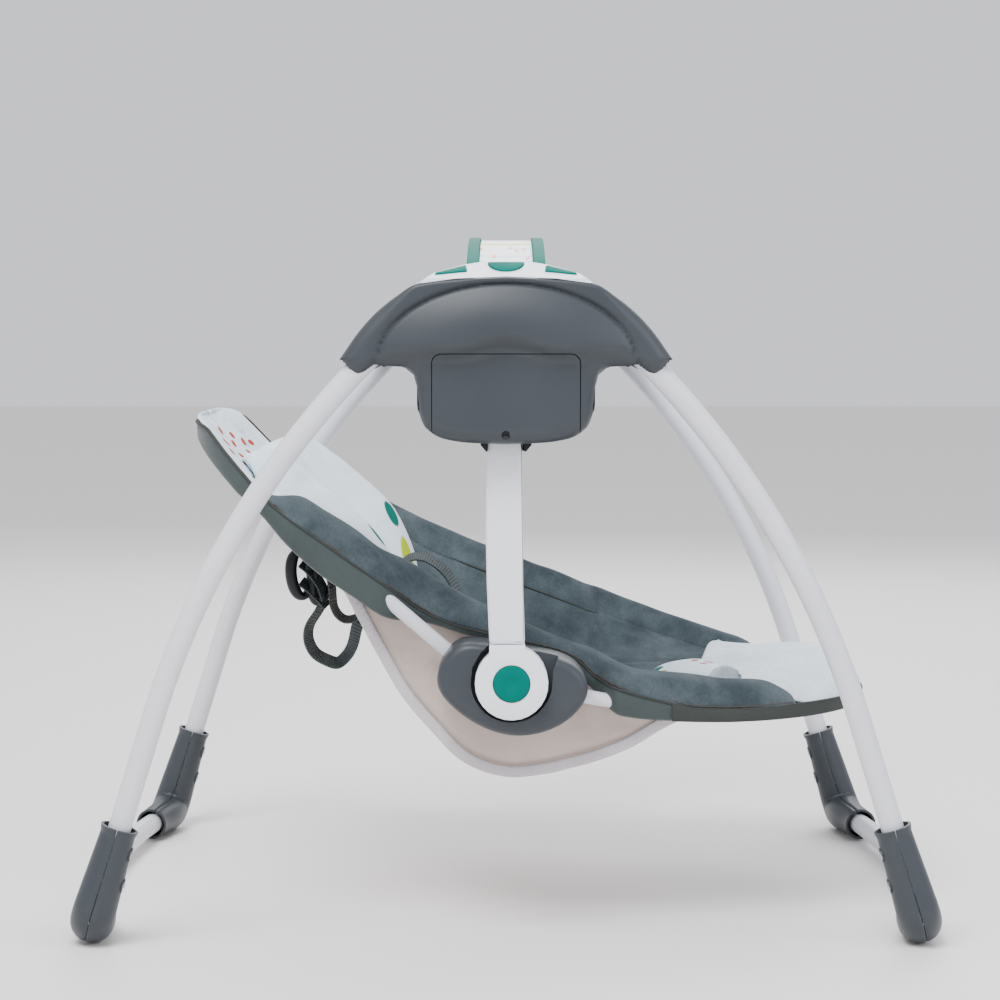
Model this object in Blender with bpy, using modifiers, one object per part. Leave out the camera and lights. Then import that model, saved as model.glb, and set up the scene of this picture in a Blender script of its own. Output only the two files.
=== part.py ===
"""Portable battery baby swing: two folding steel leg frames, two drive hubs, a swinging seat and a toy bar.

X runs from the head end to the foot end, Y across the swing, Z up.  The origin lies on the floor under the
middle of the swing.  "End" is -1 for the head and 1 for the foot; "side" is -1 for the side with the
controls and 1 for the other side.  Distances from the middle plane are written without their sign.
"""
from math import asin, cos, pi, radians, sin, tan

import bmesh
import bpy
from mathutils import Matrix, Vector

GAP = 0.0003                      # clearance between pieces that touch
TUBE_RADIUS = 0.0095              # 19 mm leg tube
LEG_PLANE = 0.260                 # distance of each leg from the middle plane
LEG_LEAN = radians(17.3)          # lean of the straight lower leg
LEG_BEND_START = 0.190            # height where the leg starts to curve
LEG_BEND_X = 0.2890               # distance of the leg from the middle at that height
LEG_BEND_RADIUS = 0.72
LEG_BOTTOM = 0.045
LEG_TOP = 0.515
LEG_PIVOT_HEIGHT = 0.507
STUD_RADIUS = 0.0030              # moulded pivot stud that the leg folds on
CROSS_BOW = 0.3645                # furthest reach of the bowed cross tube
CROSS_CURVE = 0.381               # its bow, as a parabola
CROSS_END = 0.212
CROSS_HEIGHT = 0.0165
FOOT_RADIUS = 0.018
FOOT_TOP = 0.0985
FOOT_TURN = 0.030                 # radius of the foot's turn along the floor
FOOT_END = 0.182

HUB_INNER_FACE = 0.198
HUB_SPLIT = 0.2502                # where the two covers meet
HUB_FRONT = 0.2765                # plane of the battery door
HUB_BROW = 0.2825                 # furthest point of the rounded brow above the door
HUB_WALL = 0.0025
HUB_SIDE = ((0.0, 0.5495), (0.040, 0.5478), (0.072, 0.5436), (0.090, 0.533), (0.1045, 0.5215),
            (0.1188, 0.506),
            (0.135, 0.483), (0.121, 0.4685), (0.1025, 0.4775), (0.0835, 0.4765), (0.0755, 0.470),
            (0.0728, 0.460), (0.0725, 0.442), (0.0657, 0.4268), (0.051, 0.4183), (0.030, 0.415),
            (0.0, 0.4138))
BROW_WIDTH = 0.105                # half axes of the brow's elliptical edge
BROW_HEIGHT = 0.066
BROW_CENTRE = 0.478
BROW_FOOT = 0.492
DOOR_HALF = 0.0605
DOOR_TOP = 0.4877
DOOR_SIDE = ((DOOR_HALF, DOOR_TOP), (DOOR_HALF, 0.4245), (0.051, 0.4187), (0.030, 0.4154), (0.0, 0.4142))
SCREW_HEIGHT = 0.4215
CELL_RADIUS = 0.0131              # C cells, two rows of two
CELL_LENGTH = 0.050
CELL_DISTANCE = 0.2600
CELL_ROWS = (0.4400, 0.4667)

SWING_PIVOT = Vector((0.0, 0.0, 0.500))
SHAFT_RADIUS = 0.004
ARM_DISTANCE = 0.235
ARM_HALF_WIDTH = 0.01475
ARM_HALF_THICK = 0.006
ARM_CENTRE = ((0.4370, -0.0010), (0.412, -0.0010), (0.375, -0.0017), (0.341, -0.0020), (0.300, -0.0012),
              (0.2473, 0.0010))
SOCKET_HALF_THICK = 0.0085
BOSS_RADIUS = 0.0303
BOSS_CENTRE = Vector((0.0046, 0.0, 0.2155))
BOSS_INNER = 0.2195
BOSS_OUTER = 0.2475
BUTTON_RADIUS = 0.0154
SPIGOT_RADIUS = 0.008

CARRIER_INNER = 0.183
CARRIER_OUTER = 0.236
CARRIER_OUTLINE = ((-0.0594, 0.2221), (-0.0443, 0.2468), (-0.0284, 0.2489), (0.0172, 0.2405),
                   (0.0347, 0.238),
                   (0.0540, 0.2325), (0.0660, 0.2205), (0.0699, 0.2062), (0.0615, 0.1903), (0.0439, 0.1764),
                   (0.0250, 0.1705), (0.0079, 0.1686), (-0.018, 0.1736), (-0.0443, 0.1922),
                   (-0.0548, 0.2062))
HOOP_DISTANCE = 0.190
HOOP_RADIUS = 0.006
HEAD_HOOP_START = Vector((-0.0240, 0.0, 0.2145))
HEAD_HOOP_END = Vector((-0.2620, 0.0, 0.4180))
FOOT_HOOP_START = 0.030
FOOT_HOOP_END = 0.312
FOOT_HOOP_DIP = Vector((0.185, 0.0, 0.1855))

SLING_HALF_WIDTH = 0.166
SLING_WALL = 0.002
SLING_EDGE = ((-0.1370, 0.2835), (-0.1030, 0.2635), (-0.0610, 0.2605), (0.0500, 0.2095), (0.0975, 0.1845),
              (0.1330, 0.1735))
SLING_BELLY = ((0.1100, 0.1530), (0.0720, 0.1380), (0.0340, 0.1290), (0.0000, 0.1257), (-0.0230, 0.1320),
               (-0.0400, 0.1410), (-0.0620, 0.1640), (-0.0880, 0.1950), (-0.1100, 0.2330),
               (-0.1250, 0.2610))
RIM_TOP = ((-0.200, 0.361), (-0.175, 0.360), (-0.128, 0.334), (-0.087, 0.308), (-0.056, 0.288),
           (-0.0175, 0.268),
           (0.016, 0.254), (0.0805, 0.228), (0.115, 0.216), (0.149, 0.213), (0.205, 0.206))
RIM_BOTTOM = ((0.205, 0.1765), (0.150, 0.1780), (0.0975, 0.1860), (0.0500, 0.2110), (-0.061, 0.2615),
              (-0.103, 0.2645), (-0.158, 0.3005), (-0.200, 0.3420))
RIM_INNER = 0.150
RIM_OUTER = 0.1755
BUCKET_LINE = ((-0.116, 0.284), (-0.085, 0.212), (-0.058, 0.173), (-0.033, 0.148), (-0.004, 0.139),
               (0.034, 0.142),
               (0.072, 0.151), (0.108, 0.168))
BUCKET_THICK = 0.014
BACK_START = Vector((-0.1230, 0.0, 0.2950))
BACK_END = Vector((-0.2490, 0.0, 0.4020))
FOOT_PAD_START = Vector((0.1230, 0.0, 0.1850))
FOOT_PAD_END = Vector((0.3000, 0.0, 0.1830))

TOY_BAR_END = 0.2294
TOY_BAR_FOOT = 0.5533
TOY_BAR_PEAK = 0.5810
TOY_RAIL_HEIGHT = 0.008
TOY_PANEL_HALF = 0.0222
TOY_RAIL_OUTER = 0.0324
PANEL_CREST = ((0.0, 0.5627), (0.022, 0.5620), (0.034, 0.5599), (0.0589, 0.5526), (0.070, 0.5448))
PANEL_CREST_FRONT = 0.2745
PANEL_CREST_BACK = 0.2320
PANEL_SHELF = 0.5528
PANEL_SLOPE = radians(20)
BUTTON_RISE = 0.0012
BUTTON_DEPTH = 0.0030
CENTRE_BUTTON_HALF = 0.0147
CENTRE_BUTTON_REACH = (0.0195, 0.0215)   # middle and half height along the slope
WEDGE_BUTTON = ((0.0330, 0.0120), (0.0570, -0.0070), (0.0570, -0.0100), (0.0320, -0.0025))


def clear_scene():
    for scene_object in list(bpy.data.objects):
        bpy.data.objects.remove(scene_object, do_unlink=True)


def new_collection(name):
    collection = bpy.data.collections.new(name)
    bpy.context.scene.collection.children.link(collection)
    return collection


def new_material(name, colour, roughness, metallic=0.0):
    material = bpy.data.materials.new(name)
    material.use_nodes = True
    shader = material.node_tree.nodes["Principled BSDF"]
    shader.inputs["Base Color"].default_value = (*colour, 1.0)
    shader.inputs["Roughness"].default_value = roughness
    shader.inputs["Metallic"].default_value = metallic
    return material


clear_scene()
SWING = new_collection("baby_swing")
CUTTERS = new_collection("cutters")
PLASTIC_GREY = new_material("grey_plastic", (0.115, 0.135, 0.160), 0.45)
PLASTIC_WHITE = new_material("white_plastic", (0.80, 0.81, 0.86), 0.35)
PLASTIC_TEAL = new_material("teal_plastic", (0.0, 0.40, 0.36), 0.35)
PLASTIC_BLACK = new_material("black_plastic", (0.01, 0.012, 0.014), 0.40)
TUBE_PAINT = new_material("painted_tube", (0.72, 0.72, 0.76), 0.40)
STEEL = new_material("zinc_steel", (0.55, 0.55, 0.55), 0.35, 1.0)
PLUSH_GREY = new_material("grey_plush", (0.13, 0.16, 0.17), 0.95)
PLUSH_WHITE = new_material("white_plush", (0.72, 0.80, 0.84), 0.95)
NYLON = new_material("light_nylon", (0.60, 0.52, 0.48), 0.80)
WEBBING = new_material("grey_webbing", (0.07, 0.09, 0.09), 0.85)


def place(name, mesh, material, origin=None, cutter=False):
    """Name a mesh that is in world coordinates, with its origin on the given axis point."""
    origin = Vector(origin) if origin is not None else Vector((0.0, 0.0, 0.0))
    edit = bmesh.new()
    edit.from_mesh(mesh)
    bmesh.ops.remove_doubles(edit, verts=edit.verts, dist=0.00002)
    bmesh.ops.recalc_face_normals(edit, faces=edit.faces)
    edit.to_mesh(mesh)
    edit.free()
    mesh.transform(Matrix.Translation(-origin))
    mesh.name = name
    piece = bpy.data.objects.new(name, mesh)
    piece.location = origin
    if cutter:
        piece.hide_render = True
        piece.display_type = "WIRE"
        CUTTERS.objects.link(piece)
    else:
        mesh.materials.clear()
        mesh.materials.append(material)
        mesh.shade_smooth()
        mesh.set_sharp_from_angle(angle=radians(35))
        SWING.objects.link(piece)
    bpy.context.view_layer.update()
    return piece


def mesh_of_curve(curve, frame):
    """Turn a curve into a welded mesh in world coordinates and remove the curve."""
    guide = bpy.data.objects.new("curve_guide", curve)
    guide.matrix_world = frame
    bpy.context.scene.collection.objects.link(guide)
    bpy.context.view_layer.update()
    depsgraph = bpy.context.evaluated_depsgraph_get()
    mesh = bpy.data.meshes.new_from_object(guide.evaluated_get(depsgraph), depsgraph=depsgraph)
    mesh.transform(frame)
    bpy.data.objects.remove(guide, do_unlink=True)
    return mesh


# Frames for flat outlines: drawn from the side (X, Z), from the end (Y, Z) or along a slope.
SIDE_VIEW = Matrix(((1, 0, 0, 0), (0, 0, -1, 0), (0, 1, 0, 0), (0, 0, 0, 1)))
END_VIEW = Matrix(((0, 0, 1, 0), (1, 0, 0, 0), (0, 1, 0, 0), (0, 0, 0, 1)))


def slope_frame(start, end):
    """A frame whose first axis runs up the slope, second across the swing, third out of the slope."""
    along = (end - start).normalized()
    across = Vector((0.0, 1.0, 0.0))
    out = along.cross(across)
    frame = Matrix((along, across, out)).transposed().to_4x4()
    frame.translation = start
    return frame


def slab_mesh(outline, low, high, frame):
    """A flat outline filled and extruded from low to high along its frame's third axis."""
    curve = bpy.data.curves.new("outline", "CURVE")
    curve.dimensions = "2D"
    curve.fill_mode = "BOTH"
    curve.extrude = (high - low) / 2
    spline = curve.splines.new("POLY")
    spline.points.add(len(outline) - 1)
    for point, (across, up) in zip(spline.points, outline):
        point.co = (across, up, 0.0, 1.0)
    spline.use_cyclic_u = True
    return mesh_of_curve(curve, frame @ Matrix.Translation((0, 0, (high + low) / 2)))


def side_slab(name, outline, near, far, side, material=None, origin=None, cutter=False):
    """An outline in X and Z, extruded between two distances from the middle plane, on one side."""
    low, high = sorted((-side * near, -side * far))
    return place(name, slab_mesh(outline, low, high, SIDE_VIEW), material, origin, cutter)


def tube_mesh(points, radius, sides=10, radii=None):
    """A tube along points, with its own radius at each point if given."""
    curve = bpy.data.curves.new("path", "CURVE")
    curve.dimensions = "3D"
    curve.bevel_depth = radius
    curve.bevel_resolution = (sides - 4) // 2
    curve.use_fill_caps = True
    spline = curve.splines.new("POLY")
    spline.points.add(len(points) - 1)
    for index, point in enumerate(points):
        spline.points[index].co = (*point, 1.0)
        spline.points[index].radius = radii[index] / radius if radii else 1.0
    return mesh_of_curve(curve, Matrix.Identity(4))


def rod_mesh(start, end, radius, sides=20):
    """A straight round rod between two points."""
    start, end = Vector(start), Vector(end)
    edit = bmesh.new()
    turn = (end - start).to_track_quat("Z", "Y").to_matrix().to_4x4()
    turn.translation = (start + end) / 2
    bmesh.ops.create_cone(edit, cap_ends=True, segments=sides, radius1=radius, radius2=radius,
                          depth=(end - start).length, matrix=turn)
    mesh = bpy.data.meshes.new("rod")
    edit.to_mesh(mesh)
    edit.free()
    return mesh


def side_rod(name, centre, radius, near, far, side, material=None, origin=None, cutter=False, sides=20):
    """A rod across the swing at one X and Z."""
    mesh = rod_mesh((centre[0], side * near, centre[1]), (centre[0], side * far, centre[1]), radius, sides)
    return place(name, mesh, material, origin, cutter)


def combine(piece, other, operation):
    modifier = piece.modifiers.new(f"{operation.lower()}_{other.name}"[:60], "BOOLEAN")
    modifier.operation = operation
    modifier.solver = "EXACT"
    modifier.object = other


def cut(piece, *cutters):
    for cutter in cutters:
        combine(piece, cutter, "DIFFERENCE")


def round_edges(piece, width, segments=2):
    bevel = piece.modifiers.new("rounded_edges", "BEVEL")
    bevel.width = width
    bevel.segments = segments
    bevel.limit_method = "ANGLE"
    bevel.angle_limit = radians(50)


def mirrored(half):
    """Complete an outline from its half at +X, which starts and ends on the middle."""
    other = [(-across, up) for across, up in reversed(half) if across > 0]
    return list(half) + other


def inset(outline, distance):
    """Move every edge of a closed outline inwards."""
    count = len(outline)
    area = sum(outline[i][0] * outline[(i + 1) % count][1] - outline[(i + 1) % count][0] * outline[i][1]
               for i in range(count))
    turn = 1 if area > 0 else -1
    moved = []
    for index in range(count):
        before, here, after = (Vector(outline[(index + step) % count]) for step in (-1, 0, 1))
        first = (here - before).normalized()
        second = (after - here).normalized()
        first_normal = Vector((-first.y, first.x)) * turn
        second_normal = Vector((-second.y, second.x)) * turn
        middle = (first_normal + second_normal).normalized()
        reach = distance / max(0.45, middle.dot(first_normal))
        moved.append(tuple(here + middle * reach))
    return moved


def ellipse_points(centre, width, height, start, end, count):
    steps = [start + (end - start) * index / (count - 1) for index in range(count)]
    return [(centre[0] + width * cos(turn), centre[1] + height * sin(turn)) for turn in steps]


HUB_OUTLINE = mirrored(HUB_SIDE)


def leg_x(height):
    """Distance of the leg's centreline from the middle at a height."""
    if height <= LEG_BEND_START:
        return LEG_BEND_X + (LEG_BEND_START - height) * tan(LEG_LEAN)
    lean = asin(sin(LEG_LEAN) + (height - LEG_BEND_START) / LEG_BEND_RADIUS)
    return LEG_BEND_X - LEG_BEND_RADIUS * (cos(LEG_LEAN) - cos(lean))


LEG_PIVOT_X = leg_x(LEG_PIVOT_HEIGHT)


def leg_pivot(end):
    return Vector((end * LEG_PIVOT_X, 0.0, LEG_PIVOT_HEIGHT))


def leg_points(end, side):
    heights = [LEG_BOTTOM, LEG_BEND_START]
    steps = 11
    heights += [LEG_BEND_START + (LEG_TOP - LEG_BEND_START) * index / steps for index in range(1,
                                                                                               steps + 1)]
    return [(end * leg_x(height), side * LEG_PLANE, height) for height in heights]


def cross_x(distance):
    return CROSS_BOW - CROSS_CURVE * distance ** 2


def build_leg(name, end, side):
    mesh = tube_mesh(leg_points(end, side), TUBE_RADIUS, 12)
    leg = place(name, mesh, TUBE_PAINT, leg_pivot(end))
    bore = side_rod(f"{name}_bore", (end * LEG_PIVOT_X, LEG_PIVOT_HEIGHT), STUD_RADIUS + GAP,
                    LEG_PLANE - 0.02, LEG_PLANE + 0.02, side, cutter=True, sides=12)
    cut(leg, bore)


def build_cross_tube(name, end):
    steps = 16
    distances = [CROSS_END - 2 * CROSS_END * index / steps for index in range(steps + 1)]
    points = [(end * cross_x(distance), distance, CROSS_HEIGHT) for distance in distances]
    place(name, tube_mesh(points, TUBE_RADIUS, 12), TUBE_PAINT, leg_pivot(end))


def foot_path(end, side):
    """Centreline of a foot: down the leg, round the turn and in along the floor, with its radii."""
    turn_height = FOOT_RADIUS + FOOT_TURN
    points = [(end * leg_x(height), side * LEG_PLANE, height)
              for height in (FOOT_TOP, FOOT_TOP - 0.003, FOOT_TOP - 0.0038, 0.070, turn_height)]
    radii = [0.0156, 0.0156, 0.0144, 0.0160, 0.0176]
    for turn in (radians(30), radians(60), radians(90)):
        height = turn_height - FOOT_TURN * sin(turn)
        distance = LEG_PLANE - FOOT_TURN * (1 - cos(turn))
        points.append((end * leg_x(height), side * distance, height))
        radii.append(FOOT_RADIUS)
    for distance, radius in ((0.207, 0.0160), (FOOT_END, 0.0140)):
        points.append((end * cross_x(distance), side * distance, CROSS_HEIGHT))
        radii.append(radius)
    return points, radii


def build_foot(end, side, names):
    """Two moulded halves that close round the leg and the cross tube."""
    points, radii = foot_path(end, side)
    leg_room = [(end * leg_x(height), side * LEG_PLANE, height) for height in (0.12, LEG_BOTTOM - GAP)]
    cross_room = [(end * cross_x(distance), side * distance, CROSS_HEIGHT)
                  for distance in (0.16, 0.18, 0.20, CROSS_END + GAP)]
    label = names[0]
    rooms = [place(f"{label}_{what}_room", tube_mesh(room, TUBE_RADIUS + GAP, 12), None, cutter=True)
             for what, room in (("leg", leg_room), ("cross", cross_room))]
    seam = Vector((cos(LEG_LEAN) * end, 0.0, sin(LEG_LEAN)))
    middle = Vector((end * leg_x(0.05), side * 0.22, 0.05))
    for name, direction in zip(names, (1, -1)):
        block = bmesh.new()
        away = -seam * direction
        turn = away.to_track_quat("Z", "Y").to_matrix().to_4x4()
        turn.translation = middle + away * (0.1 - GAP / 2)
        bmesh.ops.create_cube(block, size=0.2, matrix=turn)
        mesh = bpy.data.meshes.new("half")
        block.to_mesh(mesh)
        block.free()
        other_half = place(f"{name}_other_half", mesh, None, cutter=True)
        foot = place(name, tube_mesh(points, FOOT_RADIUS, 12, radii), PLASTIC_GREY, leg_pivot(end))
        cut(foot, other_half, *rooms)


def build_leg_frames():
    for end_name, end in (("head", -1), ("foot", 1)):
        build_cross_tube(f"{end_name}_cross_tube", end)
        for side_name, side in (("near", -1), ("far", 1)):
            build_leg(f"{end_name}_leg_{side_name}", end, side)
            build_foot(end, side,
                       (f"{end_name}_shoe_{side_name}_outer", f"{end_name}_shoe_{side_name}_inner"))


def build_outer_cover(name, side, with_door):
    cover = side_slab(name, HUB_OUTLINE, HUB_SPLIT, HUB_FRONT, side, PLASTIC_GREY)
    round_edges(cover, 0.002, 1)
    start = asin((BROW_FOOT - BROW_CENTRE) / BROW_HEIGHT)
    brow_edge = ellipse_points((0.0, BROW_CENTRE), BROW_WIDTH, BROW_HEIGHT, start, pi - start, 19)
    brow = side_slab(f"{name}_brow", brow_edge, HUB_FRONT - 0.002, HUB_BROW, side, cutter=True)
    round_edges(brow, 0.004, 1)
    combine(cover, brow, "UNION")
    room_front = HUB_FRONT - 0.003
    room = side_slab(f"{name}_room", inset(HUB_OUTLINE, HUB_WALL), HUB_SPLIT - 0.01, room_front, side,
                     cutter=True)
    cut(cover, room)
    for end in (-1, 1):
        mouth = [(end * across, up) for across, up in
                 ((0.133, 0.4875), (0.142, 0.480), (0.122, 0.458), (0.0815, 0.458), (0.0815, 0.4810))]
        cut(cover, side_slab(f"{name}_mouth_{end}", mouth, HUB_SPLIT - 0.01, room_front, side, cutter=True))
        stud = side_rod(f"{name}_stud_{end}", (end * LEG_PIVOT_X, LEG_PIVOT_HEIGHT), STUD_RADIUS,
                        HUB_SPLIT + 0.001, room_front + 0.001, side, cutter=True, sides=12)
        combine(cover, stud, "UNION")
    if with_door:
        opening = [(-DOOR_HALF, 0.40), (DOOR_HALF, 0.40), (DOOR_HALF, DOOR_TOP), (-DOOR_HALF, DOOR_TOP)]
        cut(cover,
            side_slab(f"{name}_door_room", opening, room_front - 0.001, HUB_FRONT + 0.001, side,
                      cutter=True))


def build_inner_cover(name, side):
    cover = side_slab(name, HUB_OUTLINE, HUB_INNER_FACE, HUB_SPLIT - GAP, side, PLASTIC_GREY)
    round_edges(cover, 0.002, 1)
    room = side_slab(f"{name}_room", inset(HUB_OUTLINE, HUB_WALL), HUB_INNER_FACE + HUB_WALL,
                     HUB_SPLIT + 0.01,
                     side, cutter=True)
    slot = [(-0.042, 0.40), (0.042, 0.40), (0.042, 0.425), (-0.042, 0.425)]
    slot_room = side_slab(f"{name}_slot", slot, ARM_DISTANCE - 0.012, ARM_DISTANCE + 0.0125, side,
                          cutter=True)
    shaft_room = side_rod(f"{name}_bearing", (SWING_PIVOT.x, SWING_PIVOT.z), SHAFT_RADIUS + GAP,
                          HUB_INNER_FACE - 0.01, HUB_INNER_FACE + 0.01, side, cutter=True)
    cut(cover, room, slot_room, shaft_room)


def build_battery_door():
    outline = inset(mirrored(DOOR_SIDE), GAP * 2)
    origin = (0.0, -HUB_FRONT, DOOR_TOP)
    door = side_slab("battery_door", outline, HUB_FRONT - 0.0027, HUB_FRONT, -1, PLASTIC_GREY, origin)
    screw_seat = side_rod("screw_seat", (0.0, SCREW_HEIGHT), 0.0036, HUB_FRONT - 0.0012, HUB_FRONT + 0.01,
                          -1,
                          cutter=True)
    screw_hole = side_rod("screw_hole", (0.0, SCREW_HEIGHT), 0.0018, HUB_FRONT - 0.01, HUB_FRONT, -1,
                          cutter=True)
    cut(door, screw_seat, screw_hole)
    screw = side_rod("battery_door_screw", (0.0, SCREW_HEIGHT), 0.0033, HUB_FRONT - 0.0009,
                     HUB_FRONT - 0.0003, -1,
                     STEEL, origin)
    shank = side_rod("screw_shank", (0.0, SCREW_HEIGHT), 0.0015, HUB_FRONT - 0.0080, HUB_FRONT - 0.0005, -1,
                     cutter=True)
    combine(screw, shank, "UNION")


def build_batteries():
    base = [(-0.0535, CELL_ROWS[0] - 0.0140), (0.0535, CELL_ROWS[0] - 0.0140),
            (0.0535, CELL_ROWS[1] + 0.0138), (-0.0535, CELL_ROWS[1] + 0.0138)]
    tray = side_slab("battery_tray", base, 0.2440, 0.2560, -1, PLASTIC_BLACK)
    for row, height in enumerate(CELL_ROWS):
        groove = rod_mesh((-0.0512, -CELL_DISTANCE, height), (0.0512, -CELL_DISTANCE, height),
                          CELL_RADIUS + GAP)
        cut(tray, place(f"tray_groove_{row}", groove, None, cutter=True))
        for column, start in enumerate((-CELL_LENGTH - GAP, GAP)):
            cell = rod_mesh((start, -CELL_DISTANCE, height), (start + CELL_LENGTH, -CELL_DISTANCE, height),
                            CELL_RADIUS, 16)
            place(f"battery_cell_{row}_{column}", cell, STEEL)


def build_drive():
    motor = rod_mesh((-0.062, -0.222, 0.522), (-0.032, -0.222, 0.522), 0.012)
    place("drive_motor", motor, STEEL)
    gearbox = side_slab("gearbox", [(0.028, 0.504), (0.062, 0.504), (0.062, 0.534), (0.028, 0.538)], 0.206,
                        0.243,
                        -1, PLASTIC_BLACK)
    round_edges(gearbox, 0.002, 1)


def build_pivot_shaft(name, side):
    side_rod(name, (SWING_PIVOT.x, SWING_PIVOT.z), SHAFT_RADIUS, HUB_INNER_FACE + 0.0005, 0.2436, side,
             STEEL)


def crest_outline(base_height):
    top = mirrored(PANEL_CREST)
    right = top[:len(PANEL_CREST)]
    left = top[len(PANEL_CREST):]
    edge = PANEL_CREST[-1][0]
    return left + right + [(edge - 0.002, base_height), (0.040, 0.5481), (0.0, 0.5498), (-0.040, 0.5481),
                           (-edge + 0.002, base_height)]


def panel_solid(name, side, material):
    """White cap on a hub: a crest that slopes to the front and a lower shelf behind it for the toy bar."""
    cap = side_slab(name, crest_outline(0.5442), HUB_INNER_FACE + 0.006, PANEL_CREST_FRONT, side, material)
    shelf = [(-0.08, PANEL_SHELF), (0.08, PANEL_SHELF), (0.08, 0.60), (-0.08, 0.60)]
    shelf_room = side_slab(f"{name}_shelf", shelf, HUB_INNER_FACE - 0.01, PANEL_CREST_BACK, side,
                           cutter=True)
    rise = (PANEL_CREST_FRONT - 0.2340) * tan(PANEL_SLOPE)
    foot_height = PANEL_CREST[0][1] - rise
    wedge = [(side * PANEL_CREST_FRONT, foot_height), (side * (PANEL_CREST_FRONT + 0.02), foot_height),
             (side * (PANEL_CREST_FRONT + 0.02), 0.60), (side * 0.2340, 0.60),
             (side * 0.2340, PANEL_CREST[0][1])]
    slope_room = place(f"{name}_slope", slab_mesh(wedge, -0.09, 0.09, END_VIEW), None, cutter=True)
    cut(cap, shelf_room, slope_room)
    return cap, foot_height


def button_frame(foot_height):
    """A frame on the panel's slope: first axis along X, second up the slope, third out of it."""
    along = Vector((1.0, 0.0, 0.0))
    up_slope = Vector((0.0, cos(PANEL_SLOPE), sin(PANEL_SLOPE)))
    frame = Matrix((along, up_slope, along.cross(up_slope))).transposed().to_4x4()
    frame.translation = Vector((0.0, -(PANEL_CREST_FRONT + 0.2360) / 2 - 0.001, foot_height + 0.0066))
    return frame


def build_control_panel():
    cap, foot_height = panel_solid("control_panel", -1, PLASTIC_WHITE)
    frame = button_frame(foot_height)
    middle, reach = CENTRE_BUTTON_REACH
    centre = ellipse_points((0.0, middle), CENTRE_BUTTON_HALF, reach, pi, 2 * pi, 13)
    for name, outline in (("power_button", centre), ("speed_button", WEDGE_BUTTON),
                          ("music_button", [(-across, up) for across, up in reversed(WEDGE_BUTTON)])):
        pocket = slab_mesh(inset(outline, -2 * GAP), -BUTTON_DEPTH - 0.0004, 0.02, frame)
        cut(cap, place(f"{name}_pocket", pocket, None, cutter=True))
        button_middle = sum((Vector((*point, 0.0)) for point in outline), Vector()) / len(outline)
        place(name, slab_mesh(outline, -0.0012, BUTTON_RISE, frame), PLASTIC_TEAL, frame @ button_middle)


def build_toy_bar():
    """A low arch from hub to hub: a printed panel between two rails."""
    half_chord, rise = TOY_BAR_END, TOY_BAR_PEAK - TOY_BAR_FOOT
    radius = (half_chord ** 2 + rise ** 2) / (2 * rise)
    centre = TOY_BAR_PEAK - radius
    spread = asin(half_chord / radius)
    steps = 16

    def band(low, high):
        turns = [-spread + 2 * spread * index / steps for index in range(steps + 1)]
        under = [((radius + low) * sin(turn), centre + (radius + low) * cos(turn)) for turn in turns]
        over = [((radius + high) * sin(turn),
                 centre + (radius + high) * cos(turn)) for turn in reversed(turns)]
        return under + over

    panel = band(0.0035, 0.0055)
    rail = band(0.0, TOY_RAIL_HEIGHT)
    lift_point = (0.0, 0.0, TOY_BAR_FOOT)
    place("toy_bar_panel", slab_mesh(panel, -TOY_PANEL_HALF, TOY_PANEL_HALF, END_VIEW), PLASTIC_WHITE,
          lift_point)
    for end_name, low, high in (("head", -TOY_RAIL_OUTER, -TOY_PANEL_HALF - GAP),
                                ("foot", TOY_PANEL_HALF + GAP, TOY_RAIL_OUTER)):
        rail_piece = place(f"toy_bar_rail_{end_name}", slab_mesh(rail, low, high, END_VIEW), PLASTIC_TEAL,
                           lift_point)
        round_edges(rail_piece, 0.0015, 1)


def build_hubs():
    for side_name, side in (("near", -1), ("far", 1)):
        build_outer_cover(f"hub_{side_name}_outer", side, side < 0)
        build_inner_cover(f"hub_{side_name}_inner", side)
        build_pivot_shaft(f"pivot_shaft_{side_name}", side)
    build_battery_door()
    build_batteries()
    build_drive()
    build_control_panel()
    panel_solid("hub_far_cap", 1, PLASTIC_WHITE)


def arm_outline(half_width, points):
    left = [(centre - half_width, height) for height, centre in points]
    right = [(centre + half_width, height) for height, centre in reversed(points)]
    return left + right


def boss_outline():
    """The round boss with the neck that the arm drops on."""
    neck_top, neck_middle = ARM_CENTRE[-1]
    neck_top -= GAP
    neck = [neck_middle - ARM_HALF_WIDTH - BOSS_CENTRE.x, neck_middle + ARM_HALF_WIDTH - BOSS_CENTRE.x]
    start = asin(-neck[0] / BOSS_RADIUS) + pi / 2
    stop = asin(-neck[1] / BOSS_RADIUS) + pi / 2 + 2 * pi
    arc = ellipse_points((BOSS_CENTRE.x, BOSS_CENTRE.z), BOSS_RADIUS, BOSS_RADIUS, start, stop, 24)
    return arc + [(neck[1] + BOSS_CENTRE.x, neck_top), (neck[0] + BOSS_CENTRE.x, neck_top)]


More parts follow.
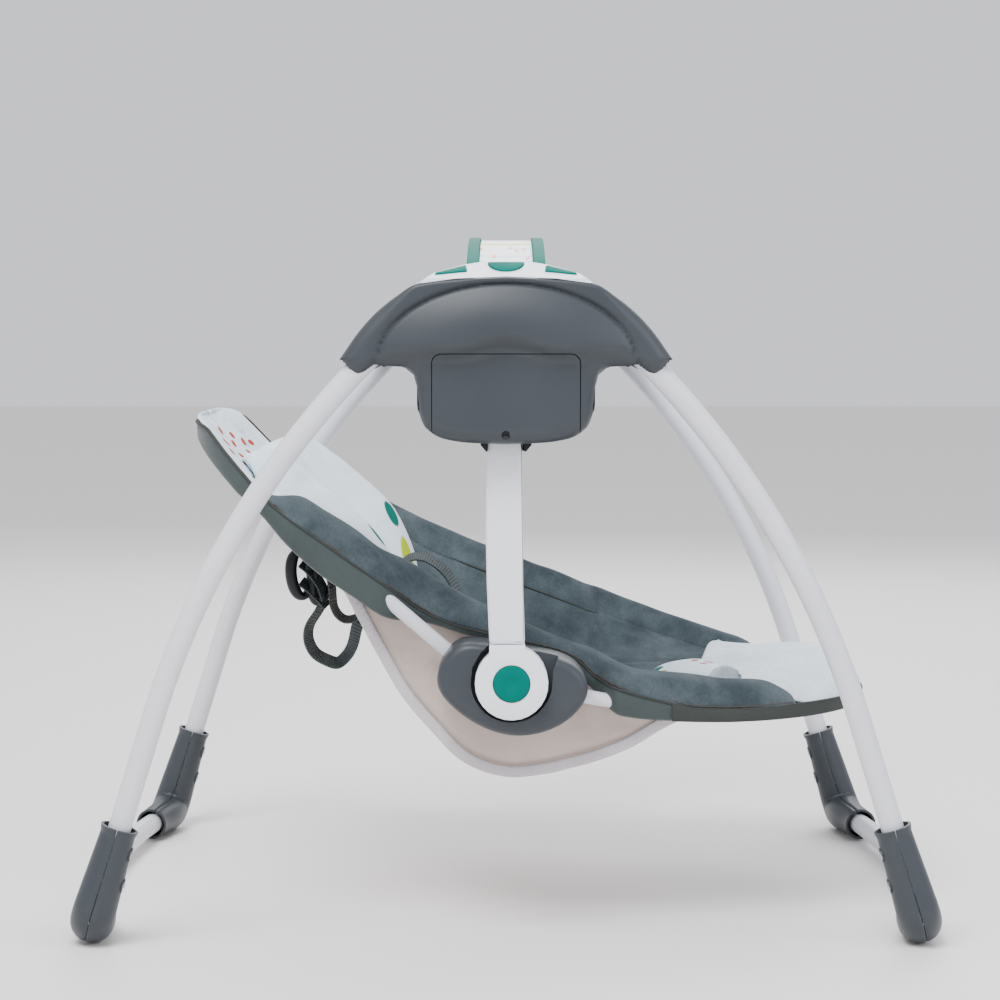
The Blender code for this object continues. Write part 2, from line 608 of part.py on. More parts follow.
def build_arm(side_name, side):
    socket_outline = ellipse_points((0.0, SWING_PIVOT.z), 0.016, 0.016, 0.0, pi, 9)
    socket_outline += [(-0.0205, 0.4250), (-0.0210, 0.4125), (-0.0165, 0.4070), (0.0165, 0.4070),
                       (0.0210, 0.4125),
                       (0.0205, 0.4250)]
    low, high = ARM_DISTANCE - SOCKET_HALF_THICK, ARM_DISTANCE + SOCKET_HALF_THICK
    socket = side_slab(f"arm_socket_{side_name}", socket_outline, low, high, side, PLASTIC_BLACK,
                       SWING_PIVOT)
    bearing = side_rod(f"socket_bearing_{side_name}", (SWING_PIVOT.x, SWING_PIVOT.z), SHAFT_RADIUS + GAP,
                       low - 0.01, high + 0.01, side, cutter=True)
    top = ARM_CENTRE[0][0]
    pocket_outline = arm_outline(ARM_HALF_WIDTH + GAP,
                                 ((top + GAP, ARM_CENTRE[0][1]), (0.40, ARM_CENTRE[1][1])))
    pocket = side_slab(f"socket_pocket_{side_name}", pocket_outline, ARM_DISTANCE - ARM_HALF_THICK - GAP,
                       ARM_DISTANCE + ARM_HALF_THICK + GAP, side, cutter=True)
    cut(socket, bearing, pocket)
    arm = side_slab(f"swing_arm_{side_name}", arm_outline(ARM_HALF_WIDTH, ARM_CENTRE),
                    ARM_DISTANCE - ARM_HALF_THICK,
                    ARM_DISTANCE + ARM_HALF_THICK, side, PLASTIC_WHITE, SWING_PIVOT)
    round_edges(arm, 0.003, 2)
    boss = side_slab(f"arm_boss_{side_name}", boss_outline(), BOSS_INNER, BOSS_OUTER, side, PLASTIC_WHITE,
                     SWING_PIVOT)
    round_edges(boss, 0.003, 2)
    boss_axis = (BOSS_CENTRE.x, BOSS_CENTRE.z)
    spigot = side_rod(f"spigot_{side_name}", boss_axis, SPIGOT_RADIUS, 0.205, BOSS_INNER + 0.001, side,
                      cutter=True)
    combine(boss, spigot, "UNION")
    well = side_rod(f"button_well_{side_name}", boss_axis, BUTTON_RADIUS + GAP, 0.2380, BOSS_OUTER + 0.01,
                    side,
                    cutter=True, sides=28)
    cut(boss, well)
    button_axis = Vector((BOSS_CENTRE.x, side * 0.2420, BOSS_CENTRE.z))
    button = side_rod(f"recline_button_{side_name}", boss_axis, BUTTON_RADIUS, 0.2420, 0.2488, side,
                      PLASTIC_TEAL,
                      button_axis, sides=28)
    dimple = side_rod(f"button_dimple_{side_name}", boss_axis, 0.005, 0.2480, 0.2500, side, cutter=True,
                      sides=12)
    cut(button, dimple)


def superellipse(turn, power):
    """Reach along and half width of a squarish U, from 0 to 1, as turn goes from end to end."""
    return abs(sin(turn)) ** (2 / power), abs(cos(turn)) ** (2 / power) * (1 if cos(turn) > 0 else -1)


def head_hoop_points(count=26, power=5.0):
    points = []
    for index in range(count + 1):
        reach, width = superellipse(pi * index / count, power)
        point = HEAD_HOOP_START.lerp(HEAD_HOOP_END, reach)
        points.append((point.x, HOOP_DISTANCE * width, point.z))
    return points


def foot_hoop_height(along):
    stiffness = 0.85 if along < FOOT_HOOP_DIP.x else 0.12
    return FOOT_HOOP_DIP.z + stiffness * (along - FOOT_HOOP_DIP.x) ** 2


def foot_hoop_points(count=26, power=4.0):
    points = []
    for index in range(count + 1):
        reach, width = superellipse(pi * index / count, power)
        along = FOOT_HOOP_START + (FOOT_HOOP_END - FOOT_HOOP_START) * reach
        points.append((along, HOOP_DISTANCE * width, foot_hoop_height(along)))
    return points


def build_seat_frame():
    for name, points in (("seat_hoop_head", head_hoop_points()), ("seat_hoop_foot", foot_hoop_points())):
        place(name, tube_mesh(points, HOOP_RADIUS, 10), TUBE_PAINT, BOSS_CENTRE)
    rooms = []
    for end_name, points in (("head", head_hoop_points()), ("foot", foot_hoop_points())):
        room = tube_mesh(points, HOOP_RADIUS + GAP, 10)
        rooms.append(place(f"hoop_room_{end_name}", room, None, cutter=True))
    for side_name, side in (("near", -1), ("far", 1)):
        carrier = side_slab(f"recline_carrier_{side_name}", CARRIER_OUTLINE, CARRIER_INNER, CARRIER_OUTER,
                            side,
                            PLASTIC_GREY, BOSS_CENTRE)
        round_edges(carrier, 0.005, 2)
        half = BOSS_RADIUS + 0.0040
        recess = ellipse_points((BOSS_CENTRE.x, BOSS_CENTRE.z), half, half, -pi, 0.0, 17)
        recess += [(BOSS_CENTRE.x + half, 0.26), (BOSS_CENTRE.x - half, 0.26)]
        recess_room = side_slab(f"recess_{side_name}", recess, BOSS_INNER - GAP, CARRIER_OUTER + 0.01, side,
                                cutter=True)
        spigot_room = side_rod(f"spigot_room_{side_name}", (BOSS_CENTRE.x, BOSS_CENTRE.z),
                               SPIGOT_RADIUS + GAP,
                               0.2045, BOSS_INNER + 0.001, side, cutter=True)
        cut(carrier, recess_room, spigot_room, *rooms)


def band_outline(line, thickness):
    """A strip of even thickness that lies on top of a line drawn in X and Z."""
    over = []
    for index, point in enumerate(line):
        before = Vector(line[max(0, index - 1)])
        after = Vector(line[min(len(line) - 1, index + 1)])
        along = (after - before).normalized()
        over.append((point[0] - along.y * thickness, point[1] + along.x * thickness))
    return list(line) + over[::-1]


def pad_outline(length, half_width, power=3.2, steps=14):
    """A pad seen from above: square at its start and rounded at its end."""
    points = []
    for index in range(steps + 1):
        reach, width = superellipse(pi * index / steps, power)
        points.append((length * reach, half_width * width))
    return points


def build_sling():
    outline = list(SLING_EDGE) + list(SLING_BELLY)
    low, high = -SLING_HALF_WIDTH, SLING_HALF_WIDTH
    sling = place("sling", slab_mesh(outline, low, high, SIDE_VIEW), NYLON, BOSS_CENTRE)
    inner = inset(outline, SLING_WALL)
    opening = [(across, up + 0.02) for across, up in inner[:len(SLING_EDGE)]] + inner[len(SLING_EDGE):]
    room = slab_mesh(opening, low + SLING_WALL, high - SLING_WALL, SIDE_VIEW)
    cut(sling, place("sling_room", room, None, cutter=True))


def build_soft_parts():
    build_sling()
    rim = list(RIM_TOP) + list(RIM_BOTTOM)
    for side_name, side in (("near", -1), ("far", 1)):
        rim_piece = side_slab(f"seat_rim_{side_name}", rim, RIM_INNER, RIM_OUTER, side, PLUSH_GREY,
                              BOSS_CENTRE)
        round_edges(rim_piece, 0.004, 1)
    bucket = band_outline(BUCKET_LINE, BUCKET_THICK)
    side_slab("seat_bucket", bucket, -0.149, 0.149, 1, PLUSH_GREY, BOSS_CENTRE)
    for name, start, end, half_width, thickness, lift, material in (
            ("seat_back", BACK_START, BACK_END, 0.1485, 0.016, 0.0, PLUSH_GREY),
            ("foot_pad", FOOT_PAD_START, FOOT_PAD_END, 0.1485, 0.012, 0.0, PLUSH_WHITE),
            ("body_insert", BACK_START, BACK_START.lerp(BACK_END, 0.93), 0.110, 0.022, 0.0165,
             PLUSH_WHITE)):
        outline = pad_outline((end - start).length, half_width)
        frame = slope_frame(start, end)
        if end.x < start.x:
            frame = frame @ Matrix.Diagonal((1.0, -1.0, -1.0, 1.0))
        place(name, slab_mesh(outline, lift, lift + thickness, frame), material, BOSS_CENTRE)


def build_harness():
    """Webbing that hangs in a loop behind the backrest, with its two moulded retainers."""
    loop = ((-0.1610, 0.2790), (-0.1652, 0.2621), (-0.1793, 0.2366), (-0.1793, 0.2243), (-0.1740, 0.2119),
            (-0.1634, 0.2049), (-0.1537, 0.2013), (-0.1449, 0.2093), (-0.1396, 0.2198), (-0.1375, 0.2366),
            (-0.1340, 0.2500))
    side_slab("webbing_loop", band_outline(loop, 0.0015), 0.090, 0.112, -1, WEBBING, BOSS_CENTRE)
    for name, middle in (("strap_retainer_a", (-0.1930, 0.2880)), ("strap_retainer_b", (-0.1720, 0.2920))):
        ring = ellipse_points(middle, 0.0085, 0.0190, 0.0, 2 * pi * 15 / 16, 16)
        retainer = side_slab(name, ring, 0.090, 0.096, -1, PLASTIC_BLACK, BOSS_CENTRE)
        hole = ellipse_points(middle, 0.0050, 0.0150, 0.0, 2 * pi * 15 / 16, 16)
        cut(retainer, side_slab(f"{name}_hole", hole, 0.08, 0.11, -1, cutter=True))


build_leg_frames()
build_hubs()
build_toy_bar()
for arm_side_name, arm_side in (("near", -1), ("far", 1)):
    build_arm(arm_side_name, arm_side)
build_seat_frame()
build_soft_parts()
build_harness()
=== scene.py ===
from math import asin, atan2, cos, exp, hypot, pi, radians, sin, sqrt, tan

import bmesh
import bpy
from mathutils import Matrix, Vector, noise


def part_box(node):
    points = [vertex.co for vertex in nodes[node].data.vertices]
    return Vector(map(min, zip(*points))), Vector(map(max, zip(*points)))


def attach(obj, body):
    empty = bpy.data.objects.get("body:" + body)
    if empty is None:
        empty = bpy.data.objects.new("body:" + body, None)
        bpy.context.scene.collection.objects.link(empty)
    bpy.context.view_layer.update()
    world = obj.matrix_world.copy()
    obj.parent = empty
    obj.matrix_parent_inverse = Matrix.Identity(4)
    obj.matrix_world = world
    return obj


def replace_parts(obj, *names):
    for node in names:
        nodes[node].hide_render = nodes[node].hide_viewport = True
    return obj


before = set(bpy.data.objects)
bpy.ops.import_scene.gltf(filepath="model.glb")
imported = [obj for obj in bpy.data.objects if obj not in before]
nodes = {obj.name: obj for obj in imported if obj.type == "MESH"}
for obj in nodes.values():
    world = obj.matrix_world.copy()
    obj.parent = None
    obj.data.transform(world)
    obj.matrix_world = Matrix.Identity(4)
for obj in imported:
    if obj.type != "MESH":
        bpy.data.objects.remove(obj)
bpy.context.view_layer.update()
bothSides = (("near", -1), ("far", 1))
bothEnds = (("head", -1), ("foot", 1))


def hexColour(text):
    # sRGB hex to the linear colour that a shader socket takes
    values = [int(text[i:i + 2], 16) / 255 for i in (1, 3, 5)]
    return tuple(v / 12.92 if v <= 0.04045 else ((v + 0.055) / 1.055) ** 2.4 for v in values) + (1.0,)


def addNode(tree, kind, inputs=None, **settings):
    # a link is given as (node, output name); anything else is a plain value
    node = tree.nodes.new(kind)
    for name, value in settings.items():
        setattr(node, name, value)
    for socket, value in (inputs or {}).items():
        if isinstance(value, tuple) and isinstance(value[0], bpy.types.Node):
            tree.links.new(value[0].outputs[value[1]], node.inputs[socket])
        else:
            node.inputs[socket].default_value = value
    return node


def newMaterial(name, **sockets):
    material = bpy.data.materials.new(name)
    material.use_nodes = True
    tree = material.node_tree
    shader = tree.nodes["Principled BSDF"]
    for socket, value in sockets.items():
        shader.inputs[socket.replace("_", " ")].default_value = value
    return material, tree, shader


def smoothstep(low, high, value):
    t = min(1.0, max(0.0, (value - low) / (high - low)))
    return t * t * (3 - 2 * t)


def smoothLine(points):
    # a smooth curve through a few (position, value) points, with no overshoot
    xs = [p[0] for p in points]
    ys = [p[1] for p in points]
    slopes = [(ys[i + 1] - ys[i]) / (xs[i + 1] - xs[i]) for i in range(len(xs) - 1)]
    tangents = [slopes[0]] + [0.0 if a * b <= 0 else 2 * a * b / (a + b) for a, b in zip(slopes, slopes[1:])]
    tangents.append(slopes[-1])

    def at(x):
        x = min(max(x, xs[0]), xs[-1])
        i = max(k for k in range(len(xs) - 1) if xs[k] <= x)
        step = xs[i + 1] - xs[i]
        t = (x - xs[i]) / step
        a, b, c, d = 2 * t ** 3 - 3 * t * t + 1, t ** 3 - 2 * t * t + t, 3 * t * t - 2 * t ** 3, t ** 3 - t * t
        return a * ys[i] + b * step * tangents[i] + c * ys[i + 1] + d * step * tangents[i + 1]
    return at


def rippled(x, y, size, seed=0.0):
    # soft random value from -1 to 1 that varies over about size metres
    return noise.noise(Vector((x / size + seed, y / size - seed, seed)))


def linkedObject(name, data):
    piece = bpy.data.objects.new(name, data)
    bpy.context.scene.collection.objects.link(piece)
    return piece


def meshObject(name, bm):
    mesh = bpy.data.meshes.new(name)
    bm.to_mesh(mesh)
    bm.free()
    return linkedObject(name, mesh)


def smoothFaces(piece, sharp=None):
    # smooth shading, with edges steeper than sharp degrees left crisp
    piece.data.shade_smooth()
    if sharp:
        piece.data.set_sharp_from_angle(angle=radians(sharp))


def finishMesh(name, bm, material, body, sharp=None):
    piece = meshObject(name, bm)
    piece.data.materials.append(material)
    smoothFaces(piece, sharp)
    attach(piece, body)
    return piece


def movedVerts(result):
    # the points among what an extrusion made
    return [v for v in result["geom"] if isinstance(v, bmesh.types.BMVert)]


def curvePoint(a, b, c, e, f):
    # the point at share f of the way from b to c on a smooth curve through all four
    return 0.5 * (2 * b + (c - a) * f + (2 * a - 5 * b + 4 * c - e) * f * f + (3 * b - a - 3 * c + e) * f ** 3)


def flatMap(bm, x, y):
    # lays the cloth map flat over the piece, in metres from the point x, y
    layer = bm.loops.layers.uv["cloth"]
    for face in bm.faces:
        for loop in face.loops:
            loop[layer].uv = (loop.vert.co.x - x, loop.vert.co.y - y)


def gridMesh(across, along, place, wrap=False):
    # a grid whose point (u, v), each from 0 to 1, goes to place(u, v); wrap joins its two long edges
    bm = bmesh.new()
    bmesh.ops.create_grid(bm, x_segments=across, y_segments=along, size=0.5)
    uvLayer = bm.loops.layers.uv.new("cloth")
    spots = {v: (v.co.x + 0.5, v.co.y + 0.5) for v in bm.verts}
    for face in bm.faces:
        for loop in face.loops:
            loop[uvLayer].uv = spots[loop.vert]
    for vert, (u, v) in spots.items():
        vert.co = Vector(place(u, v))
    if wrap:
        bmesh.ops.remove_doubles(bm, verts=bm.verts, dist=0.00005)
    return bm


def cleanMesh(bm):
    bmesh.ops.remove_doubles(bm, verts=bm.verts, dist=0.0001)
    bmesh.ops.dissolve_degenerate(bm, dist=0.0001, edges=bm.edges)


def closeMesh(bm):
    bmesh.ops.holes_fill(bm, edges=[e for e in bm.edges if e.is_boundary], sides=0)
    bmesh.ops.recalc_face_normals(bm, faces=bm.faces)


def thicken(bm, thickness):
    # an even wall behind an open surface: a copy of it is extruded and moved back along the normals
    bmesh.ops.recalc_face_normals(bm, faces=bm.faces)
    bm.normal_update()
    back = {tuple(v.co): v.normal.copy() for v in bm.verts}
    for vert in movedVerts(bmesh.ops.extrude_face_region(bm, geom=bm.faces[:], use_keep_orig=True)):
        vert.co -= back[tuple(vert.co)] * thickness
    bmesh.ops.recalc_face_normals(bm, faces=bm.faces)


def tubePiece(name, points, radius, material, body, sides):
    curve = bpy.data.curves.new(name, "CURVE")
    curve.dimensions = "3D"
    curve.bevel_depth = radius
    curve.bevel_resolution = sides // 2 - 2
    curve.use_fill_caps = True
    curve.resolution_u = 1
    curve.render_resolution_u = 0
    spline = curve.splines.new("POLY")
    spline.points.add(len(points) - 1)
    for index, point in enumerate(points):
        spline.points[index].co = (*point, 1.0)
    piece = linkedObject(name, curve)
    piece.data.materials.append(material)
    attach(piece, body)
    return piece


def subdivided(piece):
    modifier = piece.modifiers.new("smooth surface", "SUBSURF")
    modifier.levels = 1
    modifier.render_levels = 1
    return piece


def applyModifiers(piece):
    depsgraph = bpy.context.evaluated_depsgraph_get()
    mesh = bpy.data.meshes.new_from_object(piece.evaluated_get(depsgraph), depsgraph=depsgraph)
    old = piece.data
    piece.modifiers.clear()
    piece.data = mesh
    bpy.data.meshes.remove(old)
    return piece


def refinedNode(node, material, body, bevel=0.0, segments=3, sharp=40, angle=35):
    # a copy of a CAD node with merged points and rounded edges stands for it
    bm = bmesh.new()
    bm.from_mesh(nodes[node].data)
    bmesh.ops.remove_doubles(bm, verts=bm.verts, dist=0.00002)
    bmesh.ops.dissolve_limit(bm, angle_limit=radians(1.5), verts=bm.verts, edges=bm.edges)
    if bevel:
        edges = [e for e in bm.edges if len(e.link_faces) == 2 and e.calc_face_angle(0) > radians(angle)]
        bmesh.ops.bevel(bm, geom=edges, offset=bevel, segments=segments, profile=0.5, affect="EDGES",
                        clamp_overlap=True, material=-1)
    piece = finishMesh(f"{node}_finished", bm, material, body, sharp=sharp)
    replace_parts(piece, node)
    return piece


def paintNode(material, *names):
    for name in names:
        slots = nodes[name].material_slots
        if slots:
            for slot in slots:
                slot.material = material
        else:
            nodes[name].data.materials.append(material)


cameraPlace = {"distance": 2.406, "height": 0.512, "tilt": 3.83, "turn": 0.131, "lens": 95.0}


def setStage():
    data = bpy.data.cameras.new("studio camera")
    data.lens = cameraPlace["lens"]
    data.sensor_width = 36
    camera = linkedObject("studio camera", data)
    camera.location = (0.0, -cameraPlace["distance"], cameraPlace["height"])
    camera.rotation_euler = (radians(90 - cameraPlace["tilt"]), 0.0, radians(cameraPlace["turn"]))
    bpy.context.scene.camera = camera

    bm = bmesh.new()
    bmesh.ops.create_grid(bm, x_segments=1, y_segments=1, size=14)
    floorPlane = meshObject("floor", bm)
    floorPlane.location.z = -0.0006
    matteFloor, _, _ = newMaterial("matte studio floor", Base_Color=hexColour("#EFECEA"), Roughness=0.6)
    floorPlane.data.materials.append(matteFloor)

    world = bpy.data.worlds.new("pale studio")
    world.use_nodes = True
    background = world.node_tree.nodes["Background"]
    background.inputs["Color"].default_value = hexColour("#F4F5FA")
    background.inputs["Strength"].default_value = 1.05
    bpy.context.scene.world = world
    lights = (("key softbox", (-0.7, -1.5, 2.7), 1.5, 112, "#FFFFFF"),
              ("fill softbox", (2.2, -1.6, 1.6), 1.6, 30, "#F3F6FF"),
              ("window", (0.4, 2.4, 2.2), 2.4, 70, "#FFFFFF"))
    for name, spot, size, power, tint in lights:
        data = bpy.data.lights.new(name, "AREA")
        data.size = size
        data.energy = power
        data.color = hexColour(tint)[:3]
        light = linkedObject(name, data)
        light.location = spot
        light.rotation_euler = (Vector((0, 0, 0.3)) - Vector(spot)).to_track_quat("-Z", "Y").to_euler()
    print("stage set")


def noiseNode(tree, place, scale, detail, **more):
    return addNode(tree, "ShaderNodeTexNoise", {"Vector": (place, "Object"), "Scale": scale, "Detail": detail,
                                                **more})


def rangeNode(tree, source, fromLow=0.0, fromHigh=1.0, toLow=0.0, toHigh=1.0):
    return addNode(tree, "ShaderNodeMapRange", {"Value": source, "From Min": fromLow, "From Max": fromHigh,
                                                "To Min": toLow, "To Max": toHigh})


def mixNode(tree, factor, first, second, blend="MIX"):
    return addNode(tree, "ShaderNodeMix", {"Factor": factor, "A": first, "B": second}, data_type="RGBA",
                   blend_type=blend)


def feed(tree, shader, socket, node):
    tree.links.new(node.outputs["Result"], shader.inputs[socket])


def reliefNode(tree, shader, height, strength, distance):
    relief = addNode(tree, "ShaderNodeBump", {"Height": height, "Strength": strength, "Distance": distance})
    tree.links.new(relief.outputs["Normal"], shader.inputs["Normal"])


def spotNode(tree, colour, vector, location, rotation, scale, edge, shade):
    # prints one oval spot over a colour
    moved = addNode(tree, "ShaderNodeMapping", {"Vector": vector, "Location": location, "Rotation": rotation,
                                                "Scale": scale}, vector_type="TEXTURE")
    away = addNode(tree, "ShaderNodeVectorMath", {0: (moved, "Vector")}, operation="LENGTH")
    inside = rangeNode(tree, (away, "Value"), 0.9, edge, 1.0, 0.0)
    return mixNode(tree, (inside, "Result"), (colour, "Result"), hexColour(shade))


def mouldedPlastic(name, colour, dark, roughness, grainMm, bump, specular=0.3):
    # ABS from a spark-eroded mould: an even fine grain that softens the highlight
    material, tree, shader = newMaterial(name, IOR=1.50, Specular_IOR_Level=specular)
    place = addNode(tree, "ShaderNodeTexCoord")
    grain = noiseNode(tree, place, 1000 / grainMm, 3.0, Roughness=0.6)
    cloud = noiseNode(tree, place, 22.0, 2.0)
    feed(tree, shader, "Base Color", mixNode(tree, (cloud, "Fac"), hexColour(colour), hexColour(dark)))
    feed(tree, shader, "Roughness", rangeNode(tree, (grain, "Fac"), toLow=roughness - 0.06,
                                              toHigh=roughness + 0.08))
    reliefNode(tree, shader, (grain, "Fac"), bump, 0.0003)
    return material


def powderCoatSteel():
    # baked powder coat on steel tube: satin, with a faint orange peel about 1.5 mm across
    material, tree, shader = newMaterial("powder coated steel tube", IOR=1.5, Coat_Weight=0.15,
                                         Coat_Roughness=0.3)
    place = addNode(tree, "ShaderNodeTexCoord")
    peel = noiseNode(tree, place, 650.0, 2.0)
    cloud = noiseNode(tree, place, 9.0, 3.0)
    feed(tree, shader, "Base Color", mixNode(tree, (cloud, "Fac"), hexColour("#DCDDE4"), hexColour("#D2D3DC")))
    feed(tree, shader, "Roughness", rangeNode(tree, (peel, "Fac"), toLow=0.34, toHigh=0.44))
    reliefNode(tree, shader, (peel, "Fac"), 0.12, 0.0004)
    return material


def zincSteel():
    # bright zinc plating on steel, slightly uneven
    material, tree, shader = newMaterial("zinc plated steel", Base_Color=hexColour("#B9BBBD"), Metallic=1.0)
    haze = noiseNode(tree, addNode(tree, "ShaderNodeTexCoord"), 400.0, 4.0)
    feed(tree, shader, "Roughness", rangeNode(tree, (haze, "Fac"), toLow=0.22, toHigh=0.42))
    return material


absGrey = mouldedPlastic("moulded grey ABS", "#383D42", "#33383D", 0.38, 0.35, 0.25)
absBlack = mouldedPlastic("moulded black acetal", "#14191D", "#0E1215", 0.38, 0.4, 0.2)
absWhite = mouldedPlastic("polished white ABS", "#EEF0F6", "#E9EBF2", 0.30, 0.8, 0.04)
absTeal = mouldedPlastic("polished teal ABS", "#006A60", "#00645A", 0.55, 0.8, 0.05, 0.04)
tubeCoat = powderCoatSteel()
zincPlate = zincSteel()


legDims = {"radius": 0.0095, "lean": 17.3, "bendStart": 0.190, "bendX": 0.2890, "bendRadius": 0.72,
           "top": 0.515, "bottom": 0.045, "bow": 0.3645, "bowCurve": 0.381, "crossHeight": 0.0165,
           "crossEnd": 0.212}
legPlane = (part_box("head_leg_far")[0][1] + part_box("head_leg_far")[1][1]) / 2
shoeDims = {"top": 0.0985, "turn": 0.014, "radius": 0.018, "end": 0.183, "lip": 0.0016, "seamGroove": 0.0007,
            "topRadius": 0.0139, "legGrowth": 0.0037, "turnRadius": 0.0176, "turnGrowth": 0.0004,
            "footTaper": 0.0040, "endLip": 0.0009, "legShare": 0.5, "turnShare": 0.28, "wall": 0.0022,
            "halfGap": 0.00025, "floor": 0.0002}


def legX(height):
    lean = radians(legDims["lean"])
    if height <= legDims["bendStart"]:
        return legDims["bendX"] + (legDims["bendStart"] - height) * tan(lean)
    here = asin(sin(lean) + (height - legDims["bendStart"]) / legDims["bendRadius"])
    return legDims["bendX"] - legDims["bendRadius"] * (cos(lean) - cos(here))


def crossX(y):
    return legDims["bow"] - legDims["bowCurve"] * y * y


def makeTubes():
    steps = 56
    for endName, end in bothEnds:
        body = f"{endName}_frame"
        for sideName, side in bothSides:
            low, tall = legDims["bottom"], legDims["top"] - legDims["bottom"]
            heights = [low + tall * i / steps for i in range(steps + 1)]
            points = [(end * legX(h), side * legPlane, h) for h in heights]
            leg = f"{endName}_leg_{sideName}"
            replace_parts(tubePiece(leg, points, legDims["radius"], tubeCoat, body, sides=28), leg)
        reach = legDims["crossEnd"]
        places = [reach - 2 * reach * i / steps for i in range(steps + 1)]
        points = [(end * crossX(y), y, legDims["crossHeight"]) for y in places]
        tube = tubePiece(f"{endName}_floor_tube", points, legDims["radius"], tubeCoat, body, sides=28)
        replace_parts(tube, f"{endName}_cross_tube")
    print("tubes made")


def shoePath(end, side, t):
    # centre of the shoe from its top, t 0, round the turn to its inner end, t 1, with its radius
    d = shoeDims
    turnHeight = d["radius"] + d["turn"]
    turnEnd = d["legShare"] + d["turnShare"]
    if t < d["legShare"]:
        share = t / d["legShare"]
        height = d["top"] + (turnHeight - d["top"]) * share
        lip = d["lip"] * smoothstep(0.045, 0.0, t)
        return Vector((end * legX(height), side * legPlane, height)), d["topRadius"] + d["legGrowth"] * share + lip
    if t < turnEnd:
        turn = (t - d["legShare"]) / d["turnShare"] * pi / 2
        height = turnHeight - d["turn"] * sin(turn)
        y = legPlane - d["turn"] * (1 - cos(turn))
        return Vector((end * legX(height), side * y, height)), d["turnRadius"] + d["turnGrowth"] * sin(turn)
    start = legPlane - d["turn"]
    share = (t - turnEnd) / (1 - turnEnd)
    y = start + (d["end"] - start) * share
    x = legX(d["radius"]) + (crossX(y) - legX(d["radius"])) * smoothstep(0.0, 0.8, share)
    height = d["radius"] + (legDims["crossHeight"] - d["radius"]) * share
    lip = d["endLip"] * smoothstep(0.93, 1.0, share)
    return Vector((end * x, side * y, height)), d["radius"] - d["footTaper"] * share + lip


def shoeHalf(end, side, outward):
    # one moulded half: a half round wall that is rolled in along the seam
    lean = radians(legDims["lean"])
    seamNormal = Vector((cos(lean) * end, 0.0, sin(lean)))

    def place(u, v):
        t = min(0.999, max(0.0, v))
        here, radius = shoePath(end, side, t)
        ahead, _ = shoePath(end, side, min(0.9995, t + 0.02))
        behind, _ = shoePath(end, side, max(0.0, t - 0.02))
        along = (ahead - behind).normalized()
        first = (seamNormal - along * seamNormal.dot(along)).normalized()
        second = along.cross(first)
        turn = (u - 0.5) * pi
        roll = smoothstep(0.0, 0.045, u) * smoothstep(1.0, 0.955, u)
        out = radius - shoeDims["seamGroove"] * (1 - roll)
        edge = shoeDims["halfGap"] * outward
        spot = here + (first * cos(turn) * outward + second * sin(turn)) * out + first * edge
        spot.z = max(spot.z, shoeDims["floor"])
        return spot
    bm = gridMesh(30, 60, place)
    thicken(bm, shoeDims["wall"])
    return bm


def makeShoes():
    for endName, end in bothEnds:
        for sideName, side in bothSides:
            for half, outward in (("outer", 1), ("inner", -1)):
                bm = shoeHalf(end, side, outward)
                shoe = finishMesh(f"{endName}_shoe_{sideName}_{half}_moulding", bm, absGrey, f"{endName}_frame",
                                  sharp=50)
                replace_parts(shoe, f"{endName}_shoe_{sideName}_{half}")
            makeShoeScrews(endName, end, sideName, side)
    print("shoes made")


screwDims = {"places": (0.14, 0.33), "sink": 0.0052, "sinkDepth": 0.004, "sinkWall": 0.0012, "head": 0.0034,
             "headFlat": 0.45, "slotHalf": 0.0006, "slotReach": 0.0021, "slotFloor": 0.4}


def makeShoeScrews(endName, end, sideName, side):
    # pan head screws in round sinks on the inboard face, where the halves are drawn together
    d = screwDims
    lean = radians(legDims["lean"])
    inboard = Vector((-cos(lean) * end, 0.0, -sin(lean)))
    for index, t in enumerate(d["places"]):
        here, radius = shoePath(end, side, t)
        turn = inboard.to_track_quat("Z", "Y").to_matrix().to_4x4()
        ring = bmesh.new()
        bmesh.ops.create_circle(ring, cap_ends=False, segments=28, radius=d["sink"])
        rim = bmesh.ops.extrude_edge_only(ring, edges=ring.edges[:])
        bmesh.ops.translate(ring, verts=movedVerts(rim), vec=(0, 0, -d["sinkDepth"]))
        turn.translation = here + inboard * (radius + 0.0006)
        bmesh.ops.transform(ring, matrix=turn, verts=ring.verts)
        thicken(ring, -d["sinkWall"])
        finishMesh(f"{endName}_{sideName}_screw_sink_{index}", ring, absGrey, f"{endName}_frame", sharp=40)
        head = bmesh.new()
        bmesh.ops.create_uvsphere(head, u_segments=24, v_segments=12, radius=d["head"])
        bmesh.ops.scale(head, vec=(1, 1, d["headFlat"]), verts=head.verts)
        for angle in (0, pi / 2):
            for vert in head.verts:
                across = vert.co.x * cos(angle) + vert.co.y * sin(angle)
                beside = -vert.co.x * sin(angle) + vert.co.y * cos(angle)
                if vert.co.z > 0 and abs(beside) < d["slotHalf"] and abs(across) < d["slotReach"]:
                    vert.co.z *= d["slotFloor"]
        turn.translation = here + inboard * (radius + 0.0002)
        bmesh.ops.transform(head, matrix=turn, verts=head.verts)
        finishMesh(f"{endName}_{sideName}_screw_{index}", head, zincPlate, f"{endName}_frame")


